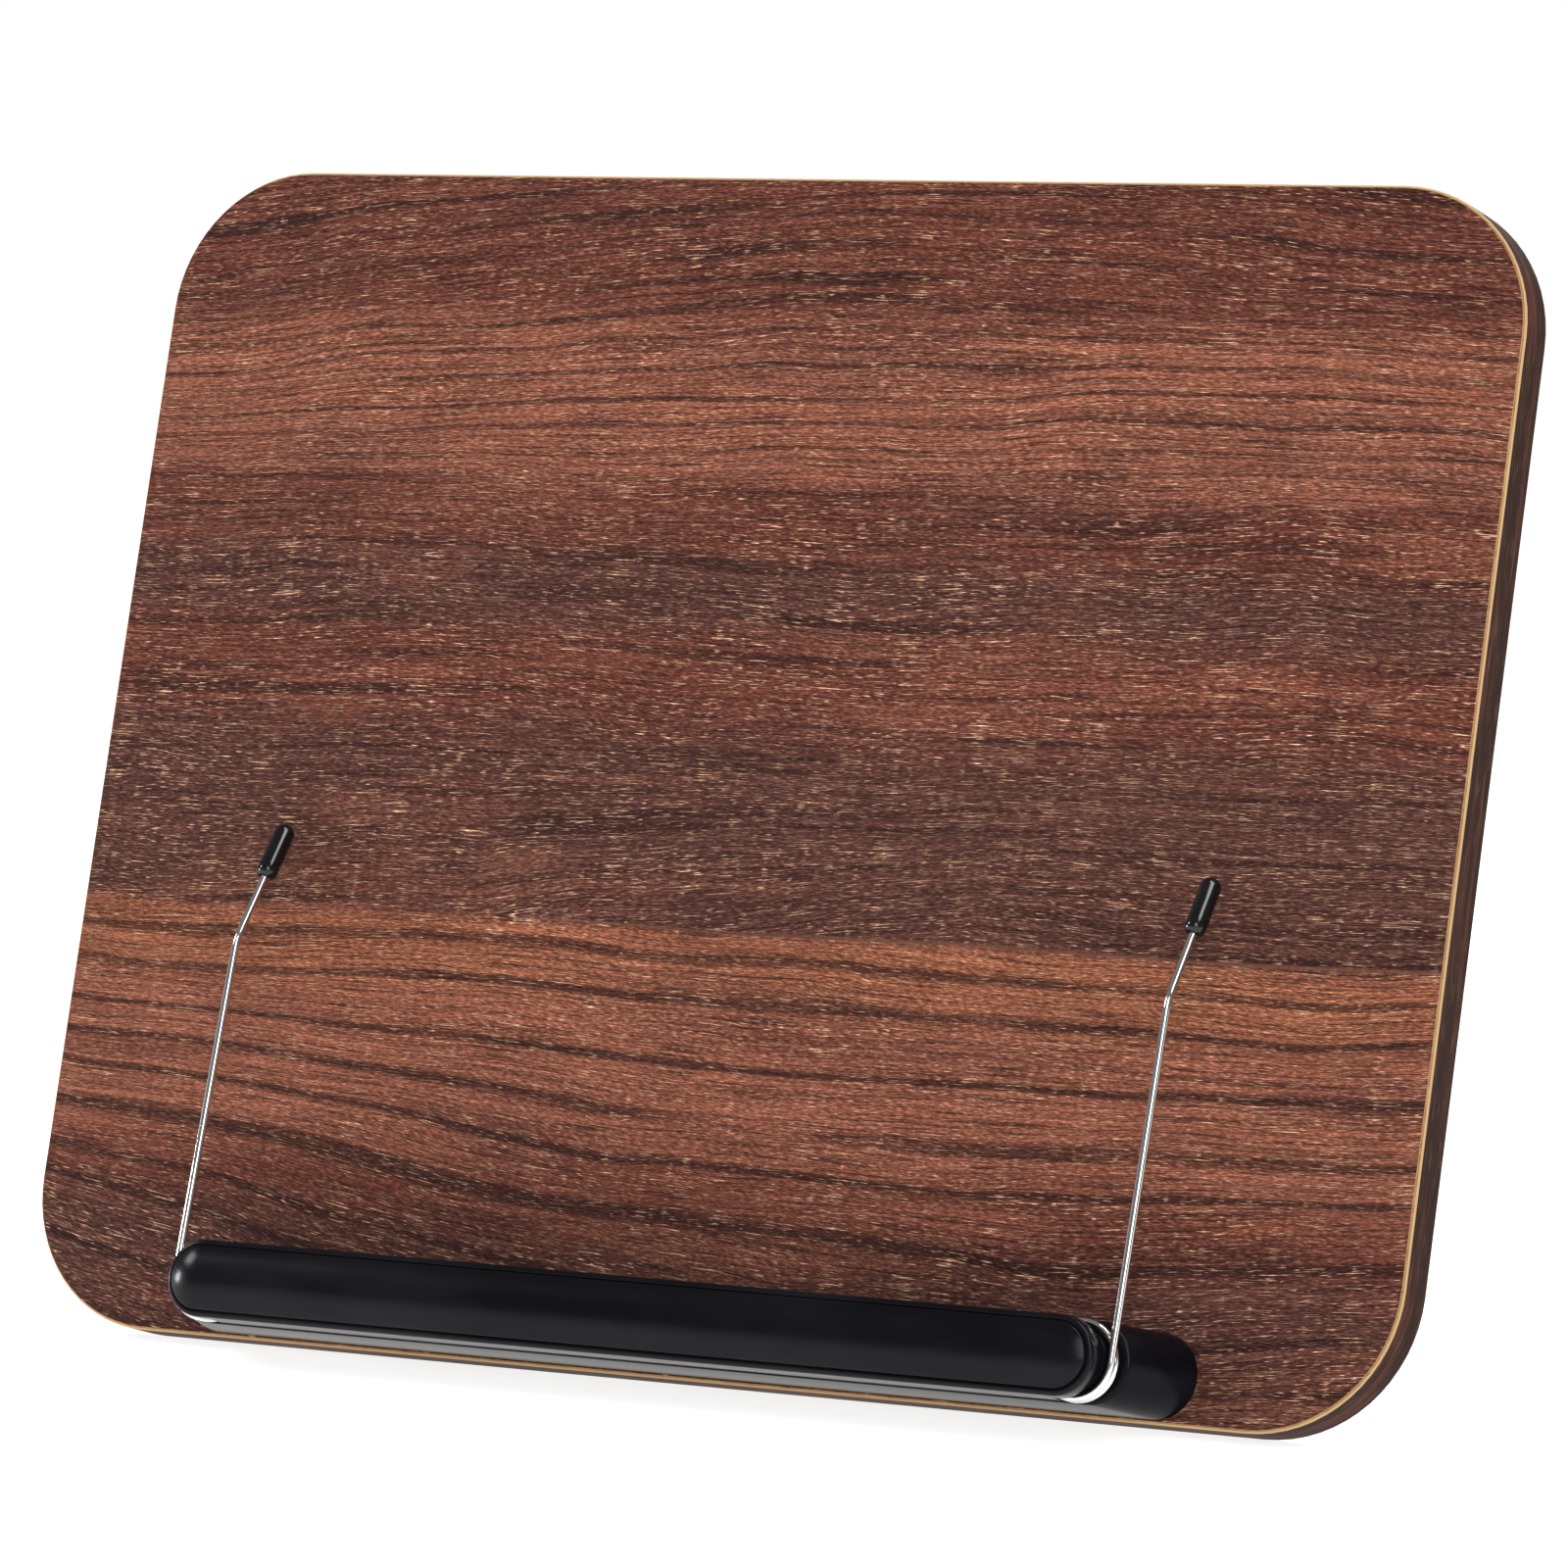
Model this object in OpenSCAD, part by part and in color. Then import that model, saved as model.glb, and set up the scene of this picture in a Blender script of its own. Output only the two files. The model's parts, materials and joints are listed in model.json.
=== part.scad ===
// Tilting book stand: a laminated board on a ratchet leg, with a ledge that
// carries two swinging page clips. Sizes are in millimetres and degrees.
// The board leans back and faces -Y. The origin is on the desk, below the
// middle of the stand's footprint.

/* [Board] */
// Width of the board
board_w = 356; // [330:1:420]
// Height of the board along its slope
board_h = 280; // [250:1:330]
// Thickness of the board with both laminates
board_t = 12; // [10:0.5:18]
// Radius of the board's corners
corner_r = 34; // [12:1:60]
// Thickness of each decorative laminate
film_t = 0.2; // [0.15:0.05:0.6]
// Thickness of the edge band
band_t = 0.4; // [0.3:0.1:0.5]
// Width of the bevel on the front and rear arrises
arris = 0.7; // [0.6:0.1:1.6]
// Lean of the board back from upright
lean = 16; // [8:1:22]

/* [Ledge] */
// Height of the ledge's centre line above the board's bottom edge
ledge_y = 10.6; // [10.2:0.1:20]
// Half length of the ledge where it meets the board
foot_reach = 131.4; // [126:0.2:145]
// Half height of the ledge where it meets the board
foot_r = 9.7; // [9.3:0.1:10]
// How far each end of the ledge draws in between the board and the clip groove
rim_draw = 7.8; // [6:0.1:9]
// Half height of the ledge at the clip groove
rim_r = 9.3; // [9.1:0.1:9.6]
// Depth of the ledge from the board's face to the clip groove
base_depth = 18.3; // [14:0.1:30]
// Width of the groove that the clip wire turns in
groove_w = 5.7; // [5.6:0.1:8]
// How far each end of the front cap stands in from the ledge's end
cap_draw = 11.7; // [9:0.1:14]
// Half height of the front cap
cap_r = 9; // [8.8:0.1:9.3]
// Thickness of the front cap at its rim
cap_t = 4.8; // [4:0.1:8]
// Radius of the cap's rounded rim
cap_round = 0.9; // [0.5:0.1:1.4]
// Half height of the raised pillow on the cap
pillow_r = 7.4; // [6.8:0.1:7.6]
// Height of the step around the pillow
pillow_step = 0.5; // [0.3:0.1:1]
// Height of the pillow's crown above its step
crown = 1.9; // [1:0.1:3]
// Wall of the ledge mouldings
ledge_wall = 2; // [1.6:0.1:2.6]
// Distance between the ledge's stiffening ribs
rib_pitch = 27; // [20:1:32]
// Thickness of each stiffening rib
rib_t = 1.6; // [1.2:0.1:2.4]

/* [Page clips] */
// Distance of each clip post from the ledge's end
post_inset = 18.5; // [17.4:0.1:21]
// Radius of each clip post
post_r = 7.4; // [6.4:0.1:7.5]
// Diameter of the clip wire
wire_d = 1.8; // [1.2:0.05:1.85]
// Radial clearance of the clip's coil on its post
coil_gap = 0.15; // [0.12:0.01:0.3]
// Turns of wire round each post
coil_turns = 1.65; // [1.2:0.05:1.7]
// Distance between turns of the coil
coil_pitch = 2.05; // [2.02:0.01:2.1]
// Height of the arm's bend above the post
bend_rise = 80.5; // [50:0.5:110]
// Approach of the arm to the board between post and bend
bend_drop = 4.6; // [2:0.1:7]
// Height of the tip above the bend
tip_rise = 29.6; // [20:0.2:40]
// Approach of the arm to the board between bend and tip
tip_drop = 14.4; // [8:0.1:14.8]
// Length of wire that each bend takes
bend_length = 5; // [3:0.5:8]
// Diameter of the rubber tip
tip_d = 5; // [4:0.1:5.6]
// Length of the rubber tip
tip_l = 14.9; // [9:0.1:18]

/* [Leg] */
// Height of the leg's hinge above the board's bottom edge
hinge_y = 175; // [170:1:180]
// Length of the leg from its hinge to its cross bar
leg_l = 168; // [166:1:172]
// Diameter of the leg's wire
leg_d = 5; // [4:0.1:5.6]
// Flare of each side of the leg
leg_flare = 12; // [4:1:18]
// Bend radius at the hinge end, to the middle of the wire
hip_r = 9; // [7:0.5:14]
// Bend radius at the cross bar, to the middle of the wire
knee_r = 12; // [8:0.5:20]
// Outer diameter of the rubber foot
foot_d = 8; // [7:0.1:9]
// Length of each rubber foot
foot_l = 30; // [15:1:40]
// Distance of each foot from the bend at its end of the cross bar
foot_inset = 3; // [1:0.5:10]

/* [Hinge housing] */
// Length of the housing
housing_l = 104; // [96:1:116]
// Height of the housing's box
housing_h = 26; // [24:0.5:32]
// Height of the housing's screw flange
flange_h = 46; // [44:1:56]
// Thickness of the flange
flange_t = 3; // [2.4:0.1:4]
// Height of the housing's walls above the flange
housing_d = 11; // [10.6:0.1:13]
// Wall of the housing
housing_wall = 2.4; // [1.8:0.1:3]
// Thickness of the cover
cover_t = 2.2; // [1.8:0.1:3]
// Length of each bearing for the leg's ends
bearing_l = 6; // [4:0.5:8]
// Running clearance round the leg's ends
bearing_gap = 0.05; // [0.02:0.01:0.09]
// Distance of the leg's hinge axis from the rear of the board
axle_d = 8.5; // [8.4:0.1:9]
// Length of each ratchet drum
drum_l = 13; // [9:0.5:14]
// Radius over the ratchet drum's teeth
drum_r = 5; // [4.6:0.05:5]
// Depth of the ratchet teeth
tooth_h = 0.8; // [0.5:0.05:0.9]
// Number of ratchet teeth
teeth = 22; // [18:1:30]
// Thickness of the detent spring's strip
leaf_t = 0.4; // [0.3:0.05:0.45]
// Clearance beside each drum
drum_gap = 0.3; // [0.2:0.05:0.6]

/* [Screws] */
// Radius of the ledge screws
ledge_screw_r = 2; // [1.6:0.1:2.2]
// Bite of the ledge screws in the ledge
ledge_bite = 13; // [9:0.5:14]
// Distance of the outer ledge screws from the middle
ledge_screw_x = 81; // [72:1:90]
// Radius of the cap screws
cap_screw_r = 1.5; // [1.2:0.1:1.6]
// Bite of the cap screws in the cap
cap_bite = 3.6; // [2.5:0.1:3.8]
// Distance of the inner cap screws from the middle
cap_screw_x = 40.5; // [34:0.5:46]
// Radius of the housing screws
board_screw_r = 1.75; // [1.5:0.05:2]
// Bite of the housing screws in the board
board_bite = 8; // [6:0.5:9]
// Distance of the housing screws from the middle
board_screw_x = 40; // [34:1:44]
// Radius of the cover screws
cover_screw_r = 1.5; // [1.2:0.1:1.6]
// Distance of the cover screws from the middle
cover_screw_x = 13; // [10:0.5:14]

/* [Hidden] */
$fn = 96;
hull_fn = 48;
sides = [-1, 1];

// Depth past a surface at which a cut starts
over = 1;
// Height of the flat land at each end of a tapered moulding
land = 0.3;
// Clearance round a screw's shank and head
screw_gap = 0.2;

// Ledge, in length from its middle and in depth from the board's face
rim_reach = foot_reach - rim_draw;
cap_reach = foot_reach - cap_draw;
post_x = foot_reach - post_inset;
cap_z = base_depth + groove_w;
rim_z = cap_z + cap_t;
step_z = rim_z + pillow_step;
dome_r = (pillow_r * pillow_r + crown * crown) / (2 * crown);
dome_z = step_z + crown - dome_r;
cap_x = cap_reach - cap_r;
web_r = min(rim_r, cap_r);

// Page clips, from the middle of the post
arm_gap = 0.4;
wire_r = wire_d / 2;
tip_r = tip_d / 2;
coil_r = post_r + coil_gap + wire_r;
pocket_r = coil_r + wire_r + 2.5 * coil_gap;
arm_z = cap_z - wire_r - arm_gap;
bend_point = [coil_r, bend_rise, arm_z - bend_drop];
tip_point = [coil_r, bend_rise + tip_rise, arm_z - bend_drop - tip_drop];
tip_way = (tip_point - bend_point) / norm(tip_point - bend_point);
tip_slope = atan2(tip_drop, tip_rise);
tip_bottom = 3;
ring_sides = 6;
coil_rings = 24;

// Where the board stands on the desk, and where the leg hangs from it
leg_r = leg_d / 2;
foot_r_out = foot_d / 2;
seat_z = max((board_t - film_t - arris) * sin(lean), board_t * sin(lean) - arris * cos(lean));
axle_back = board_t + axle_d;
axle_z = seat_z + hinge_y * cos(lean) - axle_back * sin(lean);
spread = acos((axle_z - foot_r_out) / leg_l);
front_reach = dome_r + dome_z * cos(lean) - ledge_y * sin(lean);
axle_reach = hinge_y * sin(lean) + axle_back * cos(lean);
back_reach = axle_reach + leg_l * sin(spread) + foot_r_out;
seat_y = (front_reach - back_reach) / 2;
axle_y = seat_y + axle_reach;

// Hinge housing, in depth behind the board's rear face
box_top = flange_t + housing_d;
bearing_x = housing_l / 2 - bearing_l;
drum_x = bearing_x - drum_gap - drum_l;
inner_x = drum_x - drum_gap - bearing_l;
root_r = drum_r - tooth_h;
boss_wall = 2;
flange_round = 8;
box_round = 3;
// Clearance of a pushed-on drum or foot
push_gap = 0.03;

// Leg: the journals are turned a little under the wire's size
journal_r = leg_r - 0.06;
shoulder_gap = 0.5;
leg_sides = 24;
hip_rings = 8;
knee_rings = 10;

// Screw heads
ledge_head_r = 2 * ledge_screw_r;
ledge_head_h = ledge_screw_r;
pan_ratio = 1.9;
pan_rise = 1.3;

// The board's own frame: x across, y up the slope, z out of the front face
module on_board() translate([0, seat_y, seat_z]) rotate([90 - lean, 0, 0]) children();

// The ledge's frame: the board's, at the ledge's centre line
module on_ledge() on_board() translate([0, ledge_y, 0]) children();

// The hinge's frame: y up the slope from the hinge, z away from the rear face
module on_back() on_board() translate([0, hinge_y, -board_t]) mirror([0, 0, 1]) children();

// The leg's frame: the hinge's axis along x, the leg down -y
module on_leg() translate([0, axle_y, axle_z]) rotate([90 + spread, 0, 0]) children();

// Upright rounded plate on y = 0 whose edge follows a contour of [inset, z], top first
module contour_plate(w, h, r, contour) {
    top = contour[0][1];
    bottom = contour[len(contour) - 1][1];
    up = [for (i = [len(contour) - 1 : -1 : 0]) contour[i]];
    for (s = sides, y = [r, h - r])
        translate([s * (w / 2 - r), y, 0])
            rotate_extrude()
                polygon([[0, top], for (p = contour) [r - p[0], p[1]], [0, bottom]]);
    rotate([90, 0, 90])
        linear_extrude(w - 2 * r, center = true)
            polygon([for (p = contour) [p[0], p[1]], for (p = up) [h - p[0], p[1]]]);
    translate([0, h - r, 0])
        rotate([90, 0, 0])
            linear_extrude(h - 2 * r)
                polygon([for (p = contour) [p[0] - w / 2, p[1]], for (p = up) [w / 2 - p[0], p[1]]]);
}

// Rounded plate the size of the board, drawn in by an inset, between two depths
module inset_plate(inset, top, bottom)
    translate([0, inset, 0])
        contour_plate(board_w - 2 * inset, board_h - 2 * inset, corner_r - inset, [[0, top], [0, bottom]]);

// Holes through the board for the ledge's screws, sunk for their heads at the rear
module ledge_screw_holes()
    for (x = [-ledge_screw_x, 0, ledge_screw_x])
        translate([x, ledge_y, -board_t]) {
            translate([0, 0, -over]) cylinder(r = ledge_screw_r + screw_gap, h = board_t + 2 * over);
            cylinder(r1 = ledge_head_r + screw_gap, r2 = ledge_screw_r + screw_gap, h = ledge_head_h);
        }

// Pilot holes in the board's rear for the housing's screws
module hinge_screw_holes()
    translate([0, hinge_y, -board_t])
        for (x = sides, y = sides)
            translate([x * board_screw_x, y * flange_screw_y(), -over])
                cylinder(r = board_screw_r, h = board_bite + over);

function flange_screw_y() = (housing_h + flange_h) / 4;

// Board

module board_core() {
    bevel = arris - band_t;
    color("peru") on_board() difference() {
        translate([0, band_t, 0])
            contour_plate(board_w - 2 * band_t, board_h - 2 * band_t, corner_r - band_t, [
                [bevel, -film_t],
                [0, -film_t - bevel],
                [0, film_t + bevel - board_t],
                [bevel, film_t - board_t]
            ]);
        ledge_screw_holes();
        hinge_screw_holes();
    }
}

module edge_band() {
    shoulder = film_t + arris - band_t;
    color("#3a2418") on_board() difference() {
        contour_plate(board_w, board_h, corner_r, [
            [band_t, -shoulder],
            [0, -shoulder - band_t],
            [0, shoulder + band_t - board_t],
            [band_t, shoulder - board_t]
        ]);
        inset_plate(band_t, over, -board_t - over);
    }
}

module front_laminate()
    color("#5a3526") on_board() difference() {
        inset_plate(arris, 0, -film_t);
        ledge_screw_holes();
    }

module rear_laminate()
    color("#553324") on_board() difference() {
        inset_plate(arris, film_t - board_t, -board_t);
        ledge_screw_holes();
        hinge_screw_holes();
    }

// Ledge

// Stadium-shaped moulding that tapers between two depths
module tapered_bar(reach_0, r_0, z_0, reach_1, r_1, z_1)
    hull() for (s = sides) {
        translate([s * (reach_0 - r_0), 0, z_0]) cylinder(r = r_0, h = land, $fn = hull_fn);
        translate([s * (reach_1 - r_1), 0, z_1 - land]) cylinder(r = r_1, h = land, $fn = hull_fn);
    }

// The middle of the groove is closed by a web, which stops in a round pocket at each post
module groove_web()
    difference() {
        translate([-post_x, -web_r, base_depth - land]) cube([2 * post_x, 2 * web_r, groove_w + land]);
        for (s = sides)
            translate([s * post_x, 0, base_depth]) cylinder(r = pocket_r, h = groove_w + over);
    }

// Inside of the ledge's hollow base, open towards the board
module ledge_hollow() {
    web_x = post_x - pocket_r - ledge_wall;
    translate([0, 0, -over])
        tapered_bar(foot_reach - ledge_wall, foot_r - ledge_wall, 0,
                    rim_reach - ledge_wall, rim_r - ledge_wall, base_depth - ledge_wall + over);
    translate([-web_x, ledge_wall - web_r, -over])
        cube([2 * web_x, 2 * (web_r - ledge_wall), cap_z - ledge_wall + over]);
}

// Ribs and screw bosses inside the base
module ledge_ribs() {
    boss_r = ledge_screw_r + boss_wall;
    deep = base_depth - ledge_wall / 2;
    count = floor((rim_reach - 2 * rim_r) / rib_pitch);
    for (i = [-count : count])
        translate([i * rib_pitch - rib_t / 2, ledge_wall / 2 - rim_r, 0])
            cube([rib_t, 2 * rim_r - ledge_wall, deep]);
    for (x = [-ledge_screw_x, 0, ledge_screw_x])
        translate([x, 0, 0]) cylinder(r = boss_r, h = deep);
}

function cap_screw_places() = [-post_x, -cap_screw_x, cap_screw_x, post_x];
function cap_screw_seat(x) = abs(x) == post_x ? base_depth - ledge_wall : cap_z - ledge_wall;

module ledge_base()
    color("#17171a") on_ledge() difference() {
        union() {
            difference() {
                union() {
                    tapered_bar(foot_reach, foot_r, 0, rim_reach, rim_r, base_depth);
                    groove_web();
                }
                ledge_hollow();
            }
            ledge_ribs();
            for (s = sides)
                translate([s * post_x, 0, base_depth - ledge_wall / 2])
                    cylinder(r = post_r, h = groove_w + ledge_wall / 2);
        }
        for (x = [-ledge_screw_x, 0, ledge_screw_x])
            translate([x, 0, -over]) cylinder(r = ledge_screw_r, h = ledge_bite + over);
        for (x = cap_screw_places())
            translate([x, 0, cap_screw_seat(x) - over])
                cylinder(r = cap_screw_r + screw_gap, h = cap_z - cap_screw_seat(x) + 2 * over);
    }

// Half of the cap's section, from its middle to its rounded rim, with its crowned pillow
module cap_section() {
    translate([0, cap_z]) square([cap_r, cap_t - cap_round]);
    translate([0, cap_z]) square([cap_r - cap_round, cap_t]);
    translate([cap_r - cap_round, rim_z - cap_round]) circle(cap_round);
    translate([0, cap_z]) square([pillow_r, cap_t + pillow_step]);
    intersection() {
        translate([0, dome_z]) circle(dome_r);
        translate([0, cap_z]) square([pillow_r, rim_z]);
    }
}

module cap_body() {
    rotate([90, 0, 90]) linear_extrude(2 * cap_x, center = true) {
        cap_section();
        mirror([1, 0]) cap_section();
    }
    for (s = sides)
        translate([s * cap_x, 0, 0]) rotate_extrude() cap_section();
}

module ledge_cap() {
    hollow_x = post_x - pocket_r - ledge_wall;
    hollow_r = pillow_r - ledge_wall;
    hollow_h = cap_t - ledge_wall;
    color("#17171a") on_ledge() difference() {
        cap_body();
        difference() {
            translate([-hollow_x, -hollow_r, cap_z - over])
                cube([2 * hollow_x, 2 * hollow_r, hollow_h + over]);
            for (s = sides)
                translate([s * cap_screw_x, 0, cap_z - 2 * over])
                    cylinder(r = cap_screw_r + boss_wall, h = hollow_h + 4 * over);
        }
        for (x = cap_screw_places())
            translate([x, 0, cap_z - over]) cylinder(r = cap_screw_r, h = cap_bite + over);
    }
}

module ledge_screws()
    color("silver") on_ledge() for (x = [-ledge_screw_x, 0, ledge_screw_x])
        translate([x, 0, -board_t]) {
            cylinder(r1 = ledge_head_r, r2 = ledge_screw_r, h = ledge_head_h);
            cylinder(r = ledge_screw_r, h = board_t + ledge_bite - screw_gap);
        }

// Pan-head screw whose head sits on z = 0 and whose shank runs up z
module pan_screw(r, length) {
    translate([0, 0, -pan_rise * r]) cylinder(r = pan_ratio * r, h = pan_rise * r);
    cylinder(r = r, h = length);
}

module cap_screws()
    color("silver") on_ledge() for (x = cap_screw_places())
        translate([x, 0, cap_screw_seat(x)])
            pan_screw(cap_screw_r, cap_z - cap_screw_seat(x) + cap_bite - screw_gap);

// Page clips

function unit(v) = v / norm(v);

// Helix from the wire's cut end up to where the arm leaves the post
coil_count = round(coil_turns * coil_rings);
function coil_point(i) =
    let (turn = coil_turns * (i / coil_count - 1))
    [coil_r * cos(360 * turn), coil_r * sin(360 * turn), arm_z + coil_pitch * turn];

coil_path = [for (i = [0 : coil_count]) coil_point(i)];
cut_end = coil_path[0] - wire_d * unit(coil_path[1] - coil_path[0]);
bend_start = bend_point - bend_length / 2 * unit(bend_point - coil_path[coil_count]);
bend_stop = bend_point + bend_length / 2 * tip_way;
bend_path = [for (t = [0 : 0.25 : 1])
    pow(1 - t, 2) * bend_start + 2 * t * (1 - t) * bend_point + t * t * bend_stop];
wire_path = [cut_end, each coil_path, each bend_path, tip_point - tip_bottom * tip_way];

// Least gap between the turns of the coil, and between the coil and the arm
half_turn = coil_rings / 2;
coil_gaps = [
    for (i = [0 : len(wire_path) - 1], j = [0 : len(wire_path) - 1])
        if (j - i > half_turn) norm(wire_path[j] - wire_path[i]) - wire_d
];
echo(least_gap_in_clip_coil = min(coil_gaps));

// Round tube along a path whose direction never follows z
module tube(path, r, count) {
    last = len(path) - 1;
    way = [for (i = [0 : last]) unit(path[min(i + 1, last)] - path[max(i - 1, 0)])];
    points = [for (i = [0 : last])
        let (side = unit([0, 0, 1] - way[i][2] * way[i]), up = cross(way[i], side))
        for (k = [0 : count - 1])
            path[i] + r * (cos(360 * k / count) * side + sin(360 * k / count) * up)];
    walls = [for (i = [0 : last - 1], k = [0 : count - 1])
        let (a = i * count + k, b = i * count + (k + 1) % count)
        each [[a, a + count, b], [b, a + count, b + count]]];
    ends = [for (k = [1 : count - 2])
        each [[0, k, k + 1], [last * count, last * count + k + 1, last * count + k]]];
    polyhedron(points, concat(walls, ends));
}

module right_clip() on_ledge() translate([post_x, 0, 0]) children();
module left_clip() on_ledge() mirror([1, 0, 0]) translate([post_x, 0, 0]) children();

module clip_wire() color("gainsboro") tube(wire_path, wire_r, ring_sides);

// Rubber cap pushed over the end of the arm
module clip_tip() {
    lip = tip_r / 2;
    color("#101012") translate(tip_point) rotate([90 - tip_slope, 0, 0]) difference() {
        union() {
            translate([0, 0, tip_r]) sphere(tip_r);
            translate([0, 0, tip_r]) cylinder(r = tip_r, h = tip_l - tip_r - lip);
            translate([0, 0, tip_l - lip]) cylinder(r1 = tip_r, r2 = tip_r - lip / 2, h = lip);
        }
        translate([0, 0, tip_bottom - coil_gap]) cylinder(r = wire_r + coil_gap / 3, h = tip_l);
    }
}

module left_clip_wire() left_clip() clip_wire();
module right_clip_wire() right_clip() clip_wire();
module left_clip_tip() left_clip() clip_tip();
module right_clip_tip() right_clip() clip_tip();

// Hinge housing

// Rounded block centred on the hinge
module rounded_block(l, h, r, t) {
    cube_l = l - 2 * r;
    cube_h = h - 2 * r;
    translate([-l / 2, -cube_h / 2, 0]) cube([l, cube_h, t]);
    translate([-cube_l / 2, -h / 2, 0]) cube([cube_l, h, t]);
    for (x = sides, y = sides)
        translate([x * cube_l / 2, y * cube_h / 2, 0]) cylinder(r = r, h = t);
}

// Shape along the hinge's axis, between two distances from the middle
module along_axle(r, x_0, x_1)
    translate([x_0, 0, axle_d]) rotate([0, 90, 0]) cylinder(r = r, h = x_1 - x_0);

module hinge_base() {
    inner_h = housing_h - 2 * housing_wall;
    screw_depth = housing_d - flange_t;
    color("#17171a") on_back() difference() {
        union() {
            rounded_block(housing_l, flange_h, flange_round, flange_t);
            difference() {
                rounded_block(housing_l, housing_h, box_round, box_top);
                translate([-bearing_x, -inner_h / 2, flange_t]) cube([2 * bearing_x, inner_h, box_top]);
            }
            for (s = sides) mirror([s < 0 ? 1 : 0, 0, 0])
                translate([inner_x, (housing_wall - housing_h) / 2, flange_t - land])
                    cube([bearing_l, housing_h - housing_wall, housing_d + land]);
            for (s = sides)
                translate([s * cover_screw_x, 0, flange_t - land])
                    cylinder(r = cover_screw_r + boss_wall, h = housing_d + land);
        }
        for (s = sides) mirror([s < 0 ? 1 : 0, 0, 0]) {
            along_axle(journal_r + bearing_gap, bearing_x - over, housing_l / 2 + over);
            along_axle(journal_r + bearing_gap, inner_x - over, inner_x + bearing_l + over);
            translate([cover_screw_x, 0, box_top - screw_depth])
                cylinder(r = cover_screw_r, h = screw_depth + over);
            for (y = sides)
                translate([board_screw_x, y * flange_screw_y(), -over])
                    cylinder(r = board_screw_r + screw_gap, h = flange_t + 2 * over);
        }
    }
}

module hinge_cover() {
    color("#17171a") on_back() difference() {
        translate([0, 0, box_top]) rounded_block(housing_l, housing_h, box_round, cover_t);
        for (s = sides)
            translate([s * cover_screw_x, 0, box_top - over])
                cylinder(r = cover_screw_r + screw_gap, h = cover_t + 2 * over);
    }
}

module hinge_screws()
    color("silver") on_back() for (x = sides, y = sides)
        translate([x * board_screw_x, y * flange_screw_y(), flange_t]) mirror([0, 0, 1])
            pan_screw(board_screw_r, flange_t + board_bite - screw_gap);

module cover_screws()
    color("silver") on_back() for (s = sides)
        translate([s * cover_screw_x, 0, box_top + cover_t]) mirror([0, 0, 1])
            pan_screw(cover_screw_r, cover_t + housing_d - flange_t - screw_gap);

// Spring strip under a drum, crimped to a nose that stands between two ratchet teeth
module detent_spring() {
    half = housing_h / 2 - housing_wall - drum_gap;
    tooth_half = drum_r * sin(180 / teeth);
    nose_half = 0.75 * tooth_half;
    nose_flat = 0.15 * tooth_half;
    nose = axle_d - drum_r - flange_t - leaf_t + tooth_h / 2;
    under = [[-half, 0], [-nose_half, 0], [-nose_flat, nose], [nose_flat, nose], [nose_half, 0], [half, 0]];
    color("lightsteelblue")
        translate([drum_x + drum_gap, 0, flange_t]) rotate([90, 0, 90]) linear_extrude(drum_l - 2 * drum_gap)
            polygon([each under, for (i = [len(under) - 1 : -1 : 0]) under[i] + [0, leaf_t]]);
}

module right_detent_spring() on_back() detent_spring();
module left_detent_spring() on_back() mirror([1, 0, 0]) detent_spring();

// Leg

// Toothed drum fixed on the end of the leg, a valley facing the board
module ratchet_drum()
    color("#2a2a2e") difference() {
        translate([drum_x, 0, axle_d]) rotate([90, 0, 90]) linear_extrude(drum_l)
            polygon([for (i = [0 : 2 * teeth - 1])
                let (r = i % 2 == 0 ? root_r : drum_r, a = 180 * i / teeth - 90)
                r * [cos(a), sin(a)]]);
        along_axle(journal_r + push_gap, drum_x - over, drum_x + drum_l + over);
    }

module right_ratchet_drum() on_back() ratchet_drum();
module left_ratchet_drum() on_back() mirror([1, 0, 0]) ratchet_drum();

// Path of the leg's wire on the right: hip bend, then knee bend, down to the cross bar
hip_x = housing_l / 2 + leg_r;
hip = [hip_x, -hip_r];
hip_end = hip + hip_r * [cos(leg_flare), sin(leg_flare)];
shin_l = (leg_l - hip_r - knee_r + (hip_r - knee_r) * sin(leg_flare)) / cos(leg_flare);
shin_end = hip_end + shin_l * [sin(leg_flare), -cos(leg_flare)];
knee = shin_end - knee_r * [cos(leg_flare), sin(leg_flare)];
function bend_points(middle, r, from, to, steps) =
    [for (i = [0 : steps])
        let (a = from + (to - from) * i / steps)
        [middle[0] + r * cos(a), middle[1] + r * sin(a), 0]];
half_leg = [
    [housing_l / 2 + shoulder_gap, 0, 0],
    each bend_points(hip, hip_r, 90, leg_flare, hip_rings),
    each bend_points(knee, knee_r, leg_flare, -90, knee_rings)
];
other_half = [for (i = [len(half_leg) - 1 : -1 : 0]) [-half_leg[i][0], half_leg[i][1], 0]];

// Bent wire with a turned journal at each end
module leg_wire()
    color("gainsboro") on_leg() {
        tube(concat(half_leg, other_half), leg_r, leg_sides);
        for (s = sides) mirror([s < 0 ? 1 : 0, 0, 0])
            translate([inner_x + drum_gap, 0, 0]) rotate([0, 90, 0])
                cylinder(r = journal_r, h = housing_l / 2 + leg_r - inner_x - drum_gap);
    }

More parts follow.
